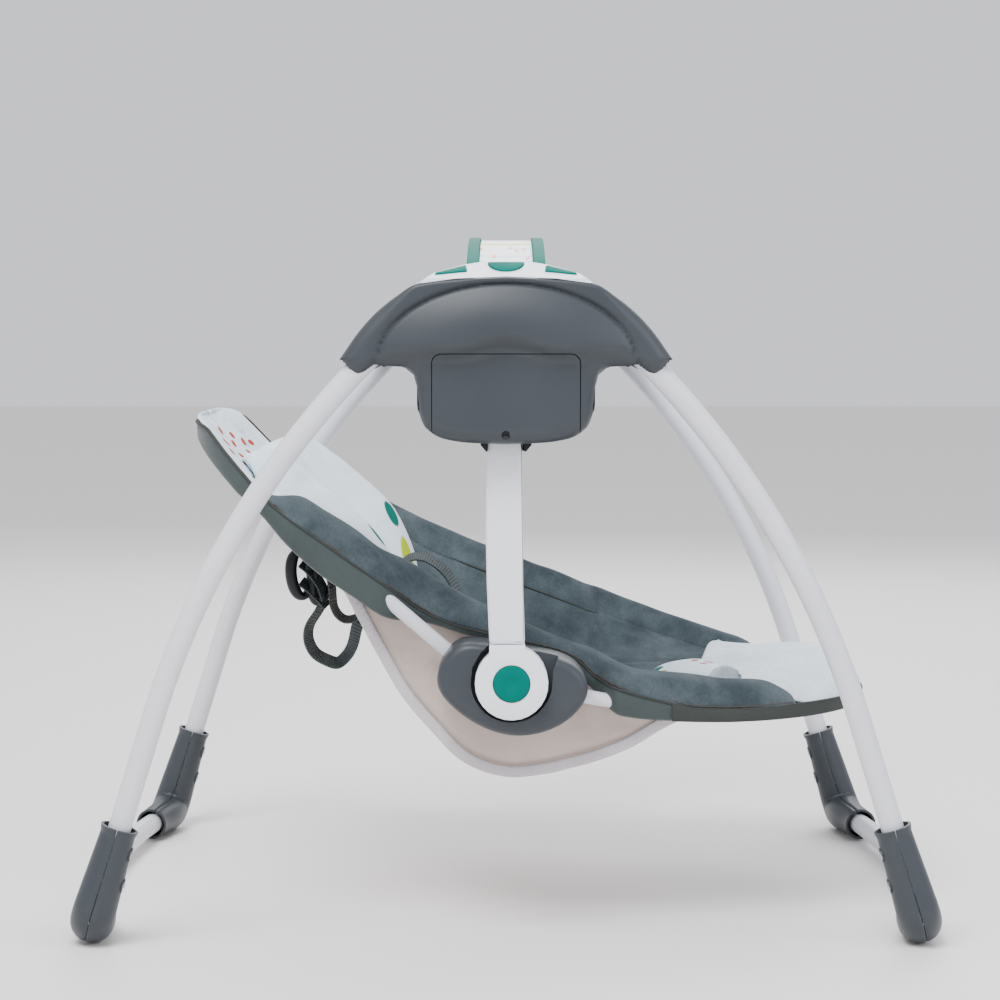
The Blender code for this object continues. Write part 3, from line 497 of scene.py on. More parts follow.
hubDims = {"front": 0.2735, "back": 0.2502, "edgeRadius": 0.013, "browWidth": 0.105, "browHeight": 0.066,
           "browCentre": 0.478, "browRise": 0.0125, "browCrest": 0.42, "ridge": 0.0015,
           "ridgeWidth": 0.019, "band": 0.0022, "panelRadius": 0.0035, "waist": 0.4795, "waistShare": 0.42,
           "wall": 0.0024,
           "doorHalf": 0.0605, "doorBottom": 0.395, "doorTop": 0.4877, "doorCorner": 0.008, "doorGap": 0.0007,
           "screwHeight": 0.4215}
hubTop = smoothLine([(-0.001, 0.5495), (0.040, 0.5478), (0.072, 0.5436), (0.090, 0.533), (0.1045, 0.5215),
                     (0.1188, 0.506), (0.135, 0.483)])
hubUnder = smoothLine([(0.0, 0.4138), (0.030, 0.4150), (0.051, 0.4183), (0.0650, 0.4268), (0.0708, 0.4400),
                       (0.0722, 0.4600), (0.0755, 0.4712), (0.0835, 0.4762), (0.1025, 0.4775), (0.121, 0.4685),
                       (0.135, 0.4825)])


def hubColumns():
    # X of the grid's columns, close together where the outline turns down beside the battery box
    half = [0.0027 * i for i in range(24)]
    half += [0.0648 + 0.0009 * i for i in range(16)]
    half += [0.0792 + 0.0024 * i for i in range(1, 24)]
    half = [x for x in half if x < 0.1346] + [0.1348]
    return [-x for x in reversed(half[1:])] + half


def outlineDistance(x, z, outline):
    best = 1.0
    for (ax, az), (bx, bz) in zip(outline, outline[1:]):
        span = max(1e-12, (bx - ax) ** 2 + (bz - az) ** 2)
        t = min(1.0, max(0.0, ((x - ax) * (bx - ax) + (z - az) * (bz - az)) / span))
        best = min(best, hypot(x - ax - t * (bx - ax), z - az - t * (bz - az)))
    return best


hubEdge = [(x, hubTop(x)) for x in [0.135 * i / 40 for i in range(41)]]
hubEdge += [(x, hubUnder(x)) for x in [0.135 - 0.135 * i / 90 for i in range(91)]]


def hubDepth(x, z):
    # distance of the hub's outer face from the middle plane
    d = hubDims
    x = abs(x)
    away = outlineDistance(x, z, hubEdge)
    radius = d["edgeRadius"]
    if z > 0.5:
        radius = d["panelRadius"] + (radius - d["panelRadius"]) * smoothstep(0.070, 0.105, x)
    drop = 0.0
    if away < radius:
        drop = radius - sqrt(max(0.0, radius ** 2 - (radius - away) ** 2))
    height = max(z, d["browCentre"])
    q = hypot(x / d["browWidth"], (height - d["browCentre"]) / d["browHeight"])
    crest = d["browCrest"]
    rise = 0.0
    if q < 1:
        full = sin(pi / 2 * (1 - q) / (1 - crest)) ** 0.9 if q > crest else smoothstep(0.12, crest, q)
        rise = d["browRise"] * full * smoothstep(0.4785, 0.4960, z)
    step = d["ridge"] * exp(-((q - 1.0) / d["ridgeWidth"]) ** 2) * smoothstep(0.470, 0.480, z)
    band = d["band"] * smoothstep(1.0, 1.08, q) * smoothstep(0.47, 0.485, z)
    return d["front"] - drop * 0.92 + rise - step + band


def hubSkin(side):
    columns = hubColumns()
    rows = 110

    def place(u, v):
        x = columns[min(len(columns) - 1, int(round(u * (len(columns) - 1))))]
        low, high = hubUnder(abs(x)), hubTop(abs(x))
        waist = min(max(hubDims["waist"], low + 0.0004), high - 0.0004)
        share = hubDims["waistShare"]
        if v < share:
            t = v / share
            z = low + (waist - low) * (t - 0.07 * sin(pi * t))
        else:
            z = waist + (high - waist) * (v - share) / (1 - share)
        return (x, side * hubDepth(x, z), z)
    bm = gridMesh(len(columns) - 1, rows, place)
    rim = bmesh.ops.extrude_edge_only(bm, edges=[e for e in bm.edges if e.is_boundary])
    for vert in movedVerts(rim):
        vert.co.y = side * hubDims["back"]
    # the mouths that the legs come out of
    mouths = []
    for face in bm.faces:
        centre = face.calc_center_median()
        if abs(face.normal.y) < 0.5 and 0.083 < abs(centre.x) < 0.1348 and centre.z < 0.4835:
            mouths.append(face)
    bmesh.ops.delete(bm, geom=mouths, context="FACES")
    thicken(bm, hubDims["wall"])
    return bm


def roundedBox(name, half, low, high, corner, near, far):
    # a cutter or plate with rounded top corners, between two Y planes
    bm = bmesh.new()
    bmesh.ops.create_cube(bm, size=1.0)
    bmesh.ops.scale(bm, vec=(2 * half, abs(far - near), high - low), verts=bm.verts)
    bmesh.ops.translate(bm, vec=(0, (near + far) / 2, (low + high) / 2), verts=bm.verts)
    edges = [e for e in bm.edges if abs(e.verts[0].co.x - e.verts[1].co.x) < 1e-6
             and abs(e.verts[0].co.z - e.verts[1].co.z) < 1e-6]
    bmesh.ops.bevel(bm, geom=edges, offset=corner, segments=8, profile=0.5, affect="EDGES", material=-1)
    return meshObject(name, bm)


def booleanApply(piece, cutter, operation):
    # cuts or limits a piece by a cutter, which is then removed
    modifier = piece.modifiers.new("cut", "BOOLEAN")
    modifier.operation = operation
    modifier.object = cutter
    modifier.solver = "EXACT"
    bpy.context.view_layer.update()
    applyModifiers(piece)
    bpy.data.objects.remove(cutter, do_unlink=True)


def makeDoor(side):
    # the door is the same skin inside a slightly smaller outline
    d = hubDims
    door = finishMesh("battery_door_moulding", hubSkin(side), absGrey, "battery_door")
    limit = roundedBox("door outline", d["doorHalf"] - d["doorGap"], d["doorBottom"], d["doorTop"] - d["doorGap"],
                       d["doorCorner"] - 0.0005, -0.2598, -0.29)
    booleanApply(door, limit, "INTERSECT")
    sink = bmesh.new()
    turn = Matrix.Translation((0, -0.2795, d["screwHeight"])) @ Matrix.Rotation(pi / 2, 4, "X")
    bmesh.ops.create_cone(sink, cap_ends=True, segments=40, radius1=0.0036, radius2=0.0036, depth=0.02,
                          matrix=turn)
    booleanApply(door, meshObject("sink", sink), "DIFFERENCE")
    smoothFaces(door, 40)
    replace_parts(door, "battery_door")


def makeHubs():
    d = hubDims
    for sideName, side in bothSides:
        cover = finishMesh(f"hub_{sideName}_outer_moulding", hubSkin(side), absGrey, "root", sharp=55)
        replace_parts(cover, f"hub_{sideName}_outer")
        if side < 0:
            opening = roundedBox("door opening", d["doorHalf"], d["doorBottom"], d["doorTop"], d["doorCorner"],
                                 -0.262, -0.29)
            booleanApply(cover, opening, "DIFFERENCE")
            smoothFaces(cover, 40)
            makeDoor(side)
        refinedNode(f"hub_{sideName}_inner", absGrey, "root", sharp=50)
    makeDoorScrew()
    print("hubs made")


def makeDoorScrew():
    # a recessed cross head screw; its head is given black plastic as painted shade for the sink it sits in
    bm = bmesh.new()
    bmesh.ops.create_cone(bm, cap_ends=True, segments=32, radius1=0.0033, radius2=0.0030, depth=0.0016)
    top = max(bm.faces, key=lambda f: f.calc_center_median().z)
    bmesh.ops.inset_region(bm, faces=[top], thickness=0.0010, depth=-0.0003)
    turn = Matrix.Translation((0, -0.2680, hubDims["screwHeight"])) @ Matrix.Rotation(pi / 2, 4, "X")
    bmesh.ops.transform(bm, matrix=turn, verts=bm.verts)
    # the black plastic here paints the shade in the screw's sink; it is not the screw's own colour
    screw = finishMesh("door_screw_head", bm, absBlack, "battery_door", sharp=30)
    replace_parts(screw, "battery_door_screw")


makeTubes()
makeShoes()
makeHubs()


def clothBase(name, colour, dark, cloudMm, roughness, **sockets):
    # shared start of every fabric: a base colour that drifts between two shades over cloudMm
    material, tree, shader = newMaterial(name, Roughness=roughness, **sockets)
    place = addNode(tree, "ShaderNodeTexCoord")
    cloud = noiseNode(tree, place, 1000 / cloudMm, 5.0, Roughness=0.62)
    spread = rangeNode(tree, (cloud, "Fac"), 0.36, 0.66)
    tint = mixNode(tree, (spread, "Result"), hexColour(dark), hexColour(colour))
    return material, tree, shader, place, tint


def shaded(tree, shader, tint, amount):
    # base colour: the tint made lighter and darker by an amount
    feed(tree, shader, "Base Color", mixNode(tree, 1.0, (tint, "Result"), (amount, "Result"), "MULTIPLY"))


def shortPilePlush(name, colour, dark, nap):
    # velboa: a 1 mm cut pile that lies one way or the other in patches, so it goes light and dark
    material, tree, shader, place, tint = clothBase(name, colour, dark, 34.0, 0.9, Sheen_Weight=0.25,
                                                    Sheen_Roughness=0.45, Sheen_Tint=hexColour(nap),
                                                    Specular_IOR_Level=0.2)
    stretch = addNode(tree, "ShaderNodeMapping", {"Vector": (place, "Object"), "Scale": (1.0, 1.0, 0.55)})
    pile = addNode(tree, "ShaderNodeTexNoise", {"Vector": (stretch, "Vector"), "Scale": 620.0, "Detail": 4.0,
                                                "Roughness": 0.7})
    shaded(tree, shader, tint, rangeNode(tree, (pile, "Fac"), 0.3, 0.7, 0.80, 1.14))
    brushed = noiseNode(tree, place, 75.0, 3.0)
    both = addNode(tree, "ShaderNodeMath", {0: (pile, "Fac"), 1: (brushed, "Fac")}, operation="ADD")
    reliefNode(tree, shader, (both, "Value"), 0.45, 0.0012)
    return material


def wovenCloth(name, colour, dark, threadMm, roughness, strength, **sockets):
    # plain weave: sets of threads at right angles, drawn at threadMm so that they just show
    material, tree, shader, place, tint = clothBase(name, colour, dark, 60.0, roughness, **sockets)
    turned = addNode(tree, "ShaderNodeMapping", {"Vector": (place, "Object"), "Rotation": (0.0, 0.6, 0.0)})
    waves = [addNode(tree, "ShaderNodeTexWave", {"Vector": (turned, "Vector"), "Scale": 1000 / 3.14 / threadMm,
                                                 "Distortion": 0.6, "Detail": 1.0}, bands_direction=direction)
             for direction in ("X", "Y", "Z")]
    first = addNode(tree, "ShaderNodeMath", {0: (waves[0], "Fac"), 1: (waves[1], "Fac")}, operation="MULTIPLY")
    weave = addNode(tree, "ShaderNodeMath", {0: (first, "Value"), 1: (waves[2], "Fac")}, operation="ADD")
    shaded(tree, shader, tint, rangeNode(tree, (weave, "Value"), 0.0, 2.0, 0.9, 1.06))
    reliefNode(tree, shader, (weave, "Value"), strength, 0.0004)
    return material


def printedJersey(name, spots, lineWork=0.75):
    # brushed white jersey with pale line work and small bright leaves; spots lists each leaf's place and
    # radii in metres on the piece's own map, its turn in degrees and its colour
    material, tree, shader, place, tint = clothBase(name, "#E4EEF4", "#D6E3EC", 45.0, 0.9, Sheen_Weight=0.04,
                                                    Sheen_Tint=hexColour("#FFFFFF"), Specular_IOR_Level=0.1)
    flat = (addNode(tree, "ShaderNodeUVMap", uv_map="cloth"), "UV")
    lines = addNode(tree, "ShaderNodeTexVoronoi", {"Vector": flat, "Scale": 34.0, "Randomness": 0.9},
                    feature="DISTANCE_TO_EDGE")
    inLine = rangeNode(tree, (lines, "Distance"), 0.025, 0.07, lineWork, 0.0)
    ranges = addNode(tree, "ShaderNodeTexNoise", {"Vector": flat, "Scale": 12.0, "Detail": 1.0})
    where = rangeNode(tree, (ranges, "Fac"), 0.45, 0.6)
    amount = addNode(tree, "ShaderNodeMath", {0: (inLine, "Result"), 1: (where, "Result")}, operation="MULTIPLY")
    colour = mixNode(tree, (amount, "Value"), (tint, "Result"), hexColour("#A9B6D0"))
    for x, y, long, wide, turn, shade in spots:
        colour = spotNode(tree, colour, flat, (x, y, 0), (0, 0, radians(turn)), (long, wide, 1), 1.05, shade)
    feed(tree, shader, "Base Color", colour)
    reliefNode(tree, shader, (noiseNode(tree, place, 900.0, 3.0), "Fac"), 0.3, 0.0008)
    return material


def ribbedWebbing():
    # woven polypropylene strap: ribs across it drawn 2.4 mm apart so that they show, along the strap's own map
    material, tree, shader, place, tint = clothBase("woven webbing strap", "#465052", "#333B3D", 20.0, 0.7)
    flat = addNode(tree, "ShaderNodeUVMap", uv_map="cloth")
    ribs = addNode(tree, "ShaderNodeTexWave", {"Vector": (flat, "UV"), "Scale": 130.0, "Distortion": 0.2},
                   bands_direction="Y")
    shaded(tree, shader, tint, rangeNode(tree, (ribs, "Fac"), toLow=0.55, toHigh=1.25))
    reliefNode(tree, shader, (ribs, "Fac"), 0.6, 0.0006)
    return material


greyPlush = shortPilePlush("grey short pile plush", "#4E585D", "#343E43", "#7C8A91")
whitePlush = shortPilePlush("white short pile plush", "#E2ECF3", "#D3E0E8", "#FFFFFF")
shellCloth = wovenCloth("dark woven seat shell", "#334040", "#2B3737", 0.9, 0.62, 0.25, Sheen_Weight=0.15)
bindingCloth = wovenCloth("dark binding tape", "#2B312D", "#232825", 0.9, 0.7, 0.3)
slingCloth = wovenCloth("light nylon sling", "#D0C0B8", "#C4B3AA", 0.8, 0.6, 0.15, Transmission_Weight=0.0)
slingEdge = wovenCloth("light overlocked edge", "#DAD6DB", "#C9C3C6", 1.6, 0.7, 0.6)
threadBrown = wovenCloth("brown stitching thread", "#4A413D", "#3C3431", 0.8, 0.7, 0.2)
webbingCloth = ribbedWebbing()
leafOrange, leafTeal, leafGreen = "#A82800", "#00655A", "#A8BC00"
headPrint = printedJersey("printed white jersey head panel", [
    (0.030, 0.076, 0.0028, 0.0110, 8, leafOrange), (0.022, 0.104, 0.0026, 0.0110, -6, leafOrange),
    (0.040, 0.092, 0.0028, 0.0110, 0, leafOrange), (0.014, 0.132, 0.0026, 0.0110, 10, leafOrange),
    (0.034, 0.128, 0.0028, 0.0120, -8, leafOrange), (0.024, 0.152, 0.0026, 0.0110, 6, leafOrange),
    (0.040, 0.160, 0.0028, 0.0110, 12, leafOrange), (0.019, 0.184, 0.0026, 0.0110, 0, leafOrange),
    (0.034, 0.196, 0.0028, 0.0110, -10, leafOrange), (0.026, 0.220, 0.0026, 0.0110, 8, leafOrange),
    (0.041, 0.232, 0.0026, 0.0110, 4, leafOrange), (0.030, 0.250, 0.0026, 0.0110, -4, leafOrange),
    (0.057, 0.050, 0.0075, 0.0200, 10, leafTeal), (0.066, 0.052, 0.0030, 0.0200, -20, leafTeal),
    (0.058, 0.278, 0.0090, 0.0180, -20, leafTeal), (0.082, 0.050, 0.0110, 0.0200, 30, leafGreen),
    (0.090, 0.270, 0.0110, 0.0180, -30, leafGreen)])


seatDims = {"headEnd": -0.2715, "footEnd": 0.3195, "headPower": 5.0, "footPower": 3.2, "headStart": -0.024,
            "footStart": 0.040, "half": 0.1995, "waist": 0.1800, "shell": 0.0015, "mapY": -0.16}
rollDims = {"start": -0.207, "end": 0.2480, "headRound": 0.030, "footRound": 0.026, "depth": 0.046,
            "dropNear": 0.013, "dropFar": 0.022, "band": 0.0022, "reach": 0.0418}
rimNear = smoothLine([(-0.262, 0.432), (-0.242, 0.412), (-0.2165, 0.382), (-0.197, 0.369), (-0.175, 0.366),
                      (-0.154, 0.354), (-0.128, 0.338), (-0.107, 0.322), (-0.087, 0.311), (-0.056, 0.291),
                      (-0.0175, 0.271), (0.016, 0.257), (0.046, 0.244), (0.0805, 0.231), (0.115, 0.2185),
                      (0.149, 0.2155), (0.183, 0.210), (0.217, 0.208), (0.245, 0.200), (0.324, 0.189)])
rimFar = smoothLine([(-0.262, 0.430), (-0.233, 0.408), (-0.180, 0.375), (-0.1237, 0.3425), (-0.0646, 0.315),
                     (-0.005, 0.2913), (0.0537, 0.2691), (0.1326, 0.2371), (0.190, 0.218), (0.231, 0.206),
                     (0.306, 0.1915), (0.324, 0.189)])
pipeLine = smoothLine([(-0.2715, 0.428), (-0.257, 0.424), (-0.242, 0.408), (-0.2165, 0.3795), (-0.202, 0.3645),
                       (-0.181, 0.3475), (-0.157, 0.3310), (-0.129, 0.3115), (-0.112, 0.300), (-0.091, 0.284),
                       (-0.077, 0.273), (-0.061, 0.264), (-0.039, 0.256), (-0.016, 0.250), (0.017, 0.2405),
                       (0.043, 0.2345), (0.0635, 0.225), (0.0745, 0.214), (0.0975, 0.204), (0.132, 0.1945),
                       (0.166, 0.1875), (0.200, 0.1865), (0.245, 0.1880), (0.300, 0.1895), (0.324, 0.1880)])
shellLow = smoothLine([(-0.2715, 0.418), (-0.250, 0.394), (-0.225, 0.3675), (-0.208, 0.353), (-0.186, 0.328),
                       (-0.158, 0.303), (-0.129, 0.2835), (-0.103, 0.2665), (-0.093, 0.263), (-0.070, 0.2600),
                       (-0.039, 0.251), (0.0, 0.240), (0.043, 0.228), (0.0700, 0.206), (0.0850, 0.190),
                       (0.0975, 0.1825), (0.132, 0.1785), (0.200, 0.1765), (0.245, 0.1775), (0.324, 0.1815)])
centreLine = smoothLine([(-0.2715, 0.425), (-0.200, 0.352), (-0.137, 0.292), (-0.090, 0.232), (-0.050, 0.184),
                         (0.0, 0.152), (0.050, 0.153), (0.100, 0.168), (0.150, 0.181), (0.200, 0.188),
                         (0.260, 0.193), (0.324, 0.188)])


def outerHalf(x):
    # half the width of the cover, which takes in the hoops at head and foot and clears the carriers
    d = seatDims
    if x < d["headStart"]:
        t = min(1.0, (d["headStart"] - x) / (d["headStart"] - d["headEnd"]))
        full = d["half"] * (1 - t ** d["headPower"]) ** (1 / d["headPower"])
    elif x > d["footStart"]:
        t = min(1.0, (x - d["footStart"]) / (d["footEnd"] - d["footStart"]))
        full = d["half"] * (1 - t ** d["footPower"]) ** (1 / d["footPower"])
    else:
        full = d["half"]
    waist = smoothstep(-0.112, -0.074, x) * smoothstep(0.094, 0.074, x)
    return full - (d["half"] - d["waist"]) * waist


def rollShare(x):
    # how much of the plush roll there is at x: none past its ends, which are rounded
    d = rollDims
    head = min(1.0, max(0.0, (x - d["start"]) / d["headRound"]))
    foot = min(1.0, max(0.0, (d["end"] - x) / d["footRound"]))
    return sqrt(max(0.0, 1 - (1 - head) ** 2)) * sqrt(max(0.0, 1 - (1 - foot) ** 2))


def rimTop(x, side):
    return rimNear(x) if side < 0 else rimFar(x)


def innerEdge(x, side):
    # where the seat's inner surface starts, under the roll or at the band: distance out, and height
    share = rollShare(x)
    rise = rimTop(x, side) - pipeLine(x)
    drop = 0.012 if side < 0 else 0.020
    away = outerHalf(x) - (rollDims["band"] + rollDims["reach"] * share)
    return max(0.0, away), pipeLine(x) + 0.001 + max(0.0, rise - drop) * share


def innerSurface(x, y):
    # height of the seat's inner surface
    side = -1 if y < 0 else 1
    away, height = innerEdge(x, side)
    t = min(1.0, abs(y) / max(0.001, away))
    low = min(centreLine(x), height)
    nearEnd = smoothstep(seatDims["headEnd"], -0.235, x)
    return low + (height - low) * (t ** 2.3) + 0.0012 * rippled(x, y, 0.045, 2.0) * (1 - t ** 4) * nearEnd


def endX(share, foot):
    # X near the head or foot end at which the cover is this share of its full width
    d = seatDims
    start, end, power = (d["footStart"], d["footEnd"], d["footPower"]) if foot \
        else (d["headStart"], d["headEnd"], d["headPower"])
    return start + (end - start) * (1 - share ** power) ** (1 / power)


def alongSeat(v, low, high):
    # X from low to high, with even steps round the seat's ends as well as along it
    turn, edge = 0.14, 0.94
    toHead, toFoot = low < -0.26, high > 0.31
    if toHead and v < turn:
        return endX(edge * v / turn, False)
    if toFoot and v > 1 - turn:
        return endX(edge * (1 - v) / turn, True)
    first, last = endX(edge, False) if toHead else low, endX(edge, True) if toFoot else high
    begin, finish = turn if toHead else 0.0, 1 - turn if toFoot else 1.0
    return first + (last - first) * (v - begin) / (finish - begin)


def rollShape(x, side, share):
    # the roll's height over the piping, its seam's drop below the top, and its depth towards the middle
    rise = (rimTop(x, side) - pipeLine(x)) * share
    drop = min(rise * 0.62, rollDims["dropNear"] if side < 0 else rollDims["dropFar"])
    return rise, drop, rollDims["depth"] * (0.45 + 0.55 * share)


def makeSideRolls():
    # plush panels padded with batting, from the piping over the rim to the inner seam
    for sideName, side in bothSides:
        def place(u, v, side=side):
            spread = 0.35 * (0.5 - 0.5 * cos(pi * v)) + 0.65 * v
            x = rollDims["start"] + (rollDims["end"] - rollDims["start"]) * spread
            rise, drop, depth = rollShape(x, side, max(0.04, rollShare(x)))
            low = pipeLine(x)
            top = low + rise
            outline = [(0.0005, low), (0.0000, low + 0.25 * rise), (-0.0030, low + 0.55 * rise),
                       (-0.0100, low + 0.85 * rise), (-0.0215 - 0.1 * (depth - 0.03), top),
                       (-0.0330, top - 0.0025), (-depth, top - drop), (-depth + 0.002, top - drop - 0.006),
                       (-0.0290, top - drop - 0.0085), (-0.0130, low + 0.2 * rise), (-0.0075, low + 0.02 * rise)]
            n = len(outline)
            t = u * n
            corners = [outline[(int(t) % n + k) % n] for k in (-1, 0, 1, 2)]
            out, z = (curvePoint(*values, t - int(t)) for values in zip(*corners))
            puff = 0.0016 * rippled(x, z * 2 + side, 0.05, 5.0)
            return (x, side * (outerHalf(x) + out + puff), z + 0.0010 * rippled(x, side, 0.03, 9.0))
        bm = gridMesh(56, 150, place, wrap=True)
        closeMesh(bm)
        roll = finishMesh(f"side_roll_{sideName}", bm, greyPlush, "seat")
        subdivided(roll)
        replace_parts(roll, f"seat_rim_{sideName}")
    print("side rolls made")


def edgeTube(name, along, height, side, radius, material, low, high, count):
    # a cord or row of stitches that follows the cover's outer edge
    points = []
    for i in range(count + 1):
        x = alongSeat(i / count, low, high)
        points.append((x, side * max(0.0, outerHalf(x) + along), height(x)))
    return tubePiece(name, points, radius, material, "seat", sides=12)


def makePiping():
    for sideName, side in bothSides:
        edgeTube(f"piping_{sideName}", -0.0002, lambda x: pipeLine(x) - 0.0006, side, 0.0015, bindingCloth,
                 seatDims["headEnd"], seatDims["footEnd"], 170)
        edgeTube(f"brown_thread_{sideName}", 0.0008, lambda x: pipeLine(x) + 0.0020 + 0.0004 * sin(x * 900), side,
                 0.00045, threadBrown, -0.195, 0.245, 400)


def makeInnerSeams():
    # the stitched line where each plush roll meets the seat's inner surface
    steps, start, length = 140, -0.192, 0.424
    for sideName, side in bothSides:
        points = []
        for i in range(steps + 1):
            x = start + length * i / steps
            rise, drop, depth = rollShape(x, side, rollShare(x))
            points.append((x, side * (outerHalf(x) - depth - 0.0004), pipeLine(x) + rise - drop - 0.0022))
        tubePiece(f"inner_seam_{sideName}", points, 0.0010, bindingCloth, "seat", sides=10)


def makeShell():
    # the outer cover under the seat: it sleeves the hoops, then hangs close under the inner surface
    sideStart, turnStart, underInset = 0.80, 0.66, 0.0155

    def place(u, v):
        a = 2 * u - 1
        side = -1 if a < 0 else 1
        x = alongSeat(v, seatDims["headEnd"], seatDims["footEnd"])
        h, top, low = outerHalf(x), pipeLine(x), shellLow(x)
        a = abs(a)
        if a > sideStart:
            t = (a - sideStart) / (1 - sideStart)
            y = h - 0.0015 * (1 - t) ** 2 + 0.0008 * sin(pi * t)
            z = low + (top - low) * t
        elif a > turnStart:
            t = (a - turnStart) / (sideStart - turnStart)
            y = h - underInset * (1 - t) - 0.0015 * t
            z = low - 0.0020 * sin(pi * t)
        else:
            t = a / turnStart
            y = max(0.0, h - underInset) * t
            under = innerSurface(x, side * y) - 0.013
            mix = smoothstep(0.55, 1.0, t)
            z = under + (low - under) * mix + 0.0016 * rippled(x, side * y, 0.022, 4.0) * (1 - mix)
        return (x, side * max(0.0, y), z)
    bm = gridMesh(96, 170, place)
    cleanMesh(bm)
    thicken(bm, seatDims["shell"])
    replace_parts(finishMesh("seat_shell", bm, shellCloth, "seat"), "seat_bucket")
    makeFootBinding()
    print("shell made")


def makeFootBinding():
    # a dark tape folded over the cover's edge all round the foot end
    edge, stop = 0.95, 0.140

    def place(u, v):
        turn = 2 * pi * u
        s = 2 * v - 1
        side = -1 if s < 0 else 1
        x = endX(edge * abs(s) / 0.5, True)
        if abs(s) > 0.5:
            x = endX(edge, True) + (stop - endX(edge, True)) * (abs(s) - 0.5) / 0.5
        middle, tall = (pipeLine(x) + shellLow(x)) / 2 - 0.0006, (pipeLine(x) - shellLow(x)) / 2 + 0.0006
        return (x + 0.0018 * cos(turn) * (1 - smoothstep(0.0, 0.03, abs(s))),
                side * (outerHalf(x) + 0.0004 + 0.0016 * cos(turn)), middle + tall * sin(turn))
    bm = gridMesh(16, 160, place, wrap=True)
    closeMesh(bm)
    finishMesh("foot_binding", bm, bindingCloth, "seat")


def seatPatch(name, material, low, high, lift, across, along, relief=None):
    # a panel of the seat's inner surface from X low to X high, both of which may vary across the seat;
    # its edges tuck under the roll or the band, and it rises over the cover at the head's tip
    def place(u, v):
        a = 2 * u - 1
        side = -1 if a < 0 else 1
        x = alongSeat(v, low(abs(a)), high(abs(a)))
        away, _ = innerEdge(x, side)
        y = side * away * abs(a) ** 0.9
        z = innerSurface(x, y) + lift * (1 - abs(a) ** 12) - 0.0016 * abs(a) ** 24
        z += 0.0035 * smoothstep(-0.248, -0.263, x)
        if relief:
            z += relief(x, y, a) * (smoothstep(0.0, 0.32, v) if low(0) > 0 else 1.0)
        return (x, y, z)
    bm = gridMesh(across, along, place)
    flatMap(bm, seatDims["headEnd"], seatDims["mapY"])
    cleanMesh(bm)
    thicken(bm, 0.0018)
    return finishMesh(name, bm, material, "seat")



def makePanels():
    seamShare, seamWidth = 0.60, 0.018
    tabEnd, fan, spiral = 0.150, 20, 14

    def seamRelief(x, y, a):
        groove = -0.0016 * exp(-((abs(a) - seamShare) / seamWidth) ** 2)
        return groove + 0.00066 * (1 - abs(a) ** 3) * cos(x * 26)

    def pleats(x, y, a):
        # gathers that fan out from the crotch tab over a padded foot panel
        reach = hypot(y, x - tabEnd)
        bent = atan2(y, x - tabEnd) * fan + reach * spiral * (1 if y > 0 else -1)
        gathers = 0.0030 * abs(sin(bent)) * smoothstep(0.025, 0.075, reach) * smoothstep(1.0, 0.93, abs(a))
        padding = 0.015 * smoothstep(0.02, 0.09, reach) * (1 - abs(a) ** 5) * smoothstep(0.3185, 0.300, x)
        return gathers + padding
    pad = seatPatch("seat_pad", greyPlush, lambda a: -0.225, lambda a: 0.2050 + 0.030 * a * a, 0.0, 120, 150,
                    seamRelief)
    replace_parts(pad, "seat_back")
    head = seatPatch("head_panel", headPrint, lambda a: seatDims["headEnd"], lambda a: -0.1750, 0.0022, 120, 80)
    foot = seatPatch("foot_panel", whitePlush, lambda a: 0.1720 + 0.052 * a * a, lambda a: seatDims["footEnd"],
                     0.0026, 200, 130, pleats)
    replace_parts(foot, "foot_pad")
    print("panels made")


makeSideRolls()
makePiping()
makeInnerSeams()
makeShell()
makePanels()


insertDims = {"headEnd": -0.240, "footEnd": -0.082, "half": 0.132, "centre": 0.012, "wing": 0.038,
              "wingOut": 0.100, "wingWidth": 0.030, "lean": 41.0, "nearWing": 0.62, "cradle": 0.010,
              "channel": 0.0045, "channelOut": 0.064, "channelWidth": 0.004, "clearance": 0.0035}
insertPrint = printedJersey("printed white jersey insert", [
    (0.163, 0.248, 0.0070, 0.0080, 20, leafTeal), (0.180, 0.232, 0.0070, 0.0130, 20, leafGreen),
    (0.192, 0.214, 0.0060, 0.0085, 5, leafTeal), (0.200, 0.150, 0.0070, 0.0140, 0, leafGreen),
    (0.200, 0.108, 0.0080, 0.0140, 10, leafTeal), (0.188, 0.074, 0.0090, 0.0080, -30, leafGreen),
    (0.158, 0.062, 0.0080, 0.0060, 20, leafTeal)], lineWork=0.0)


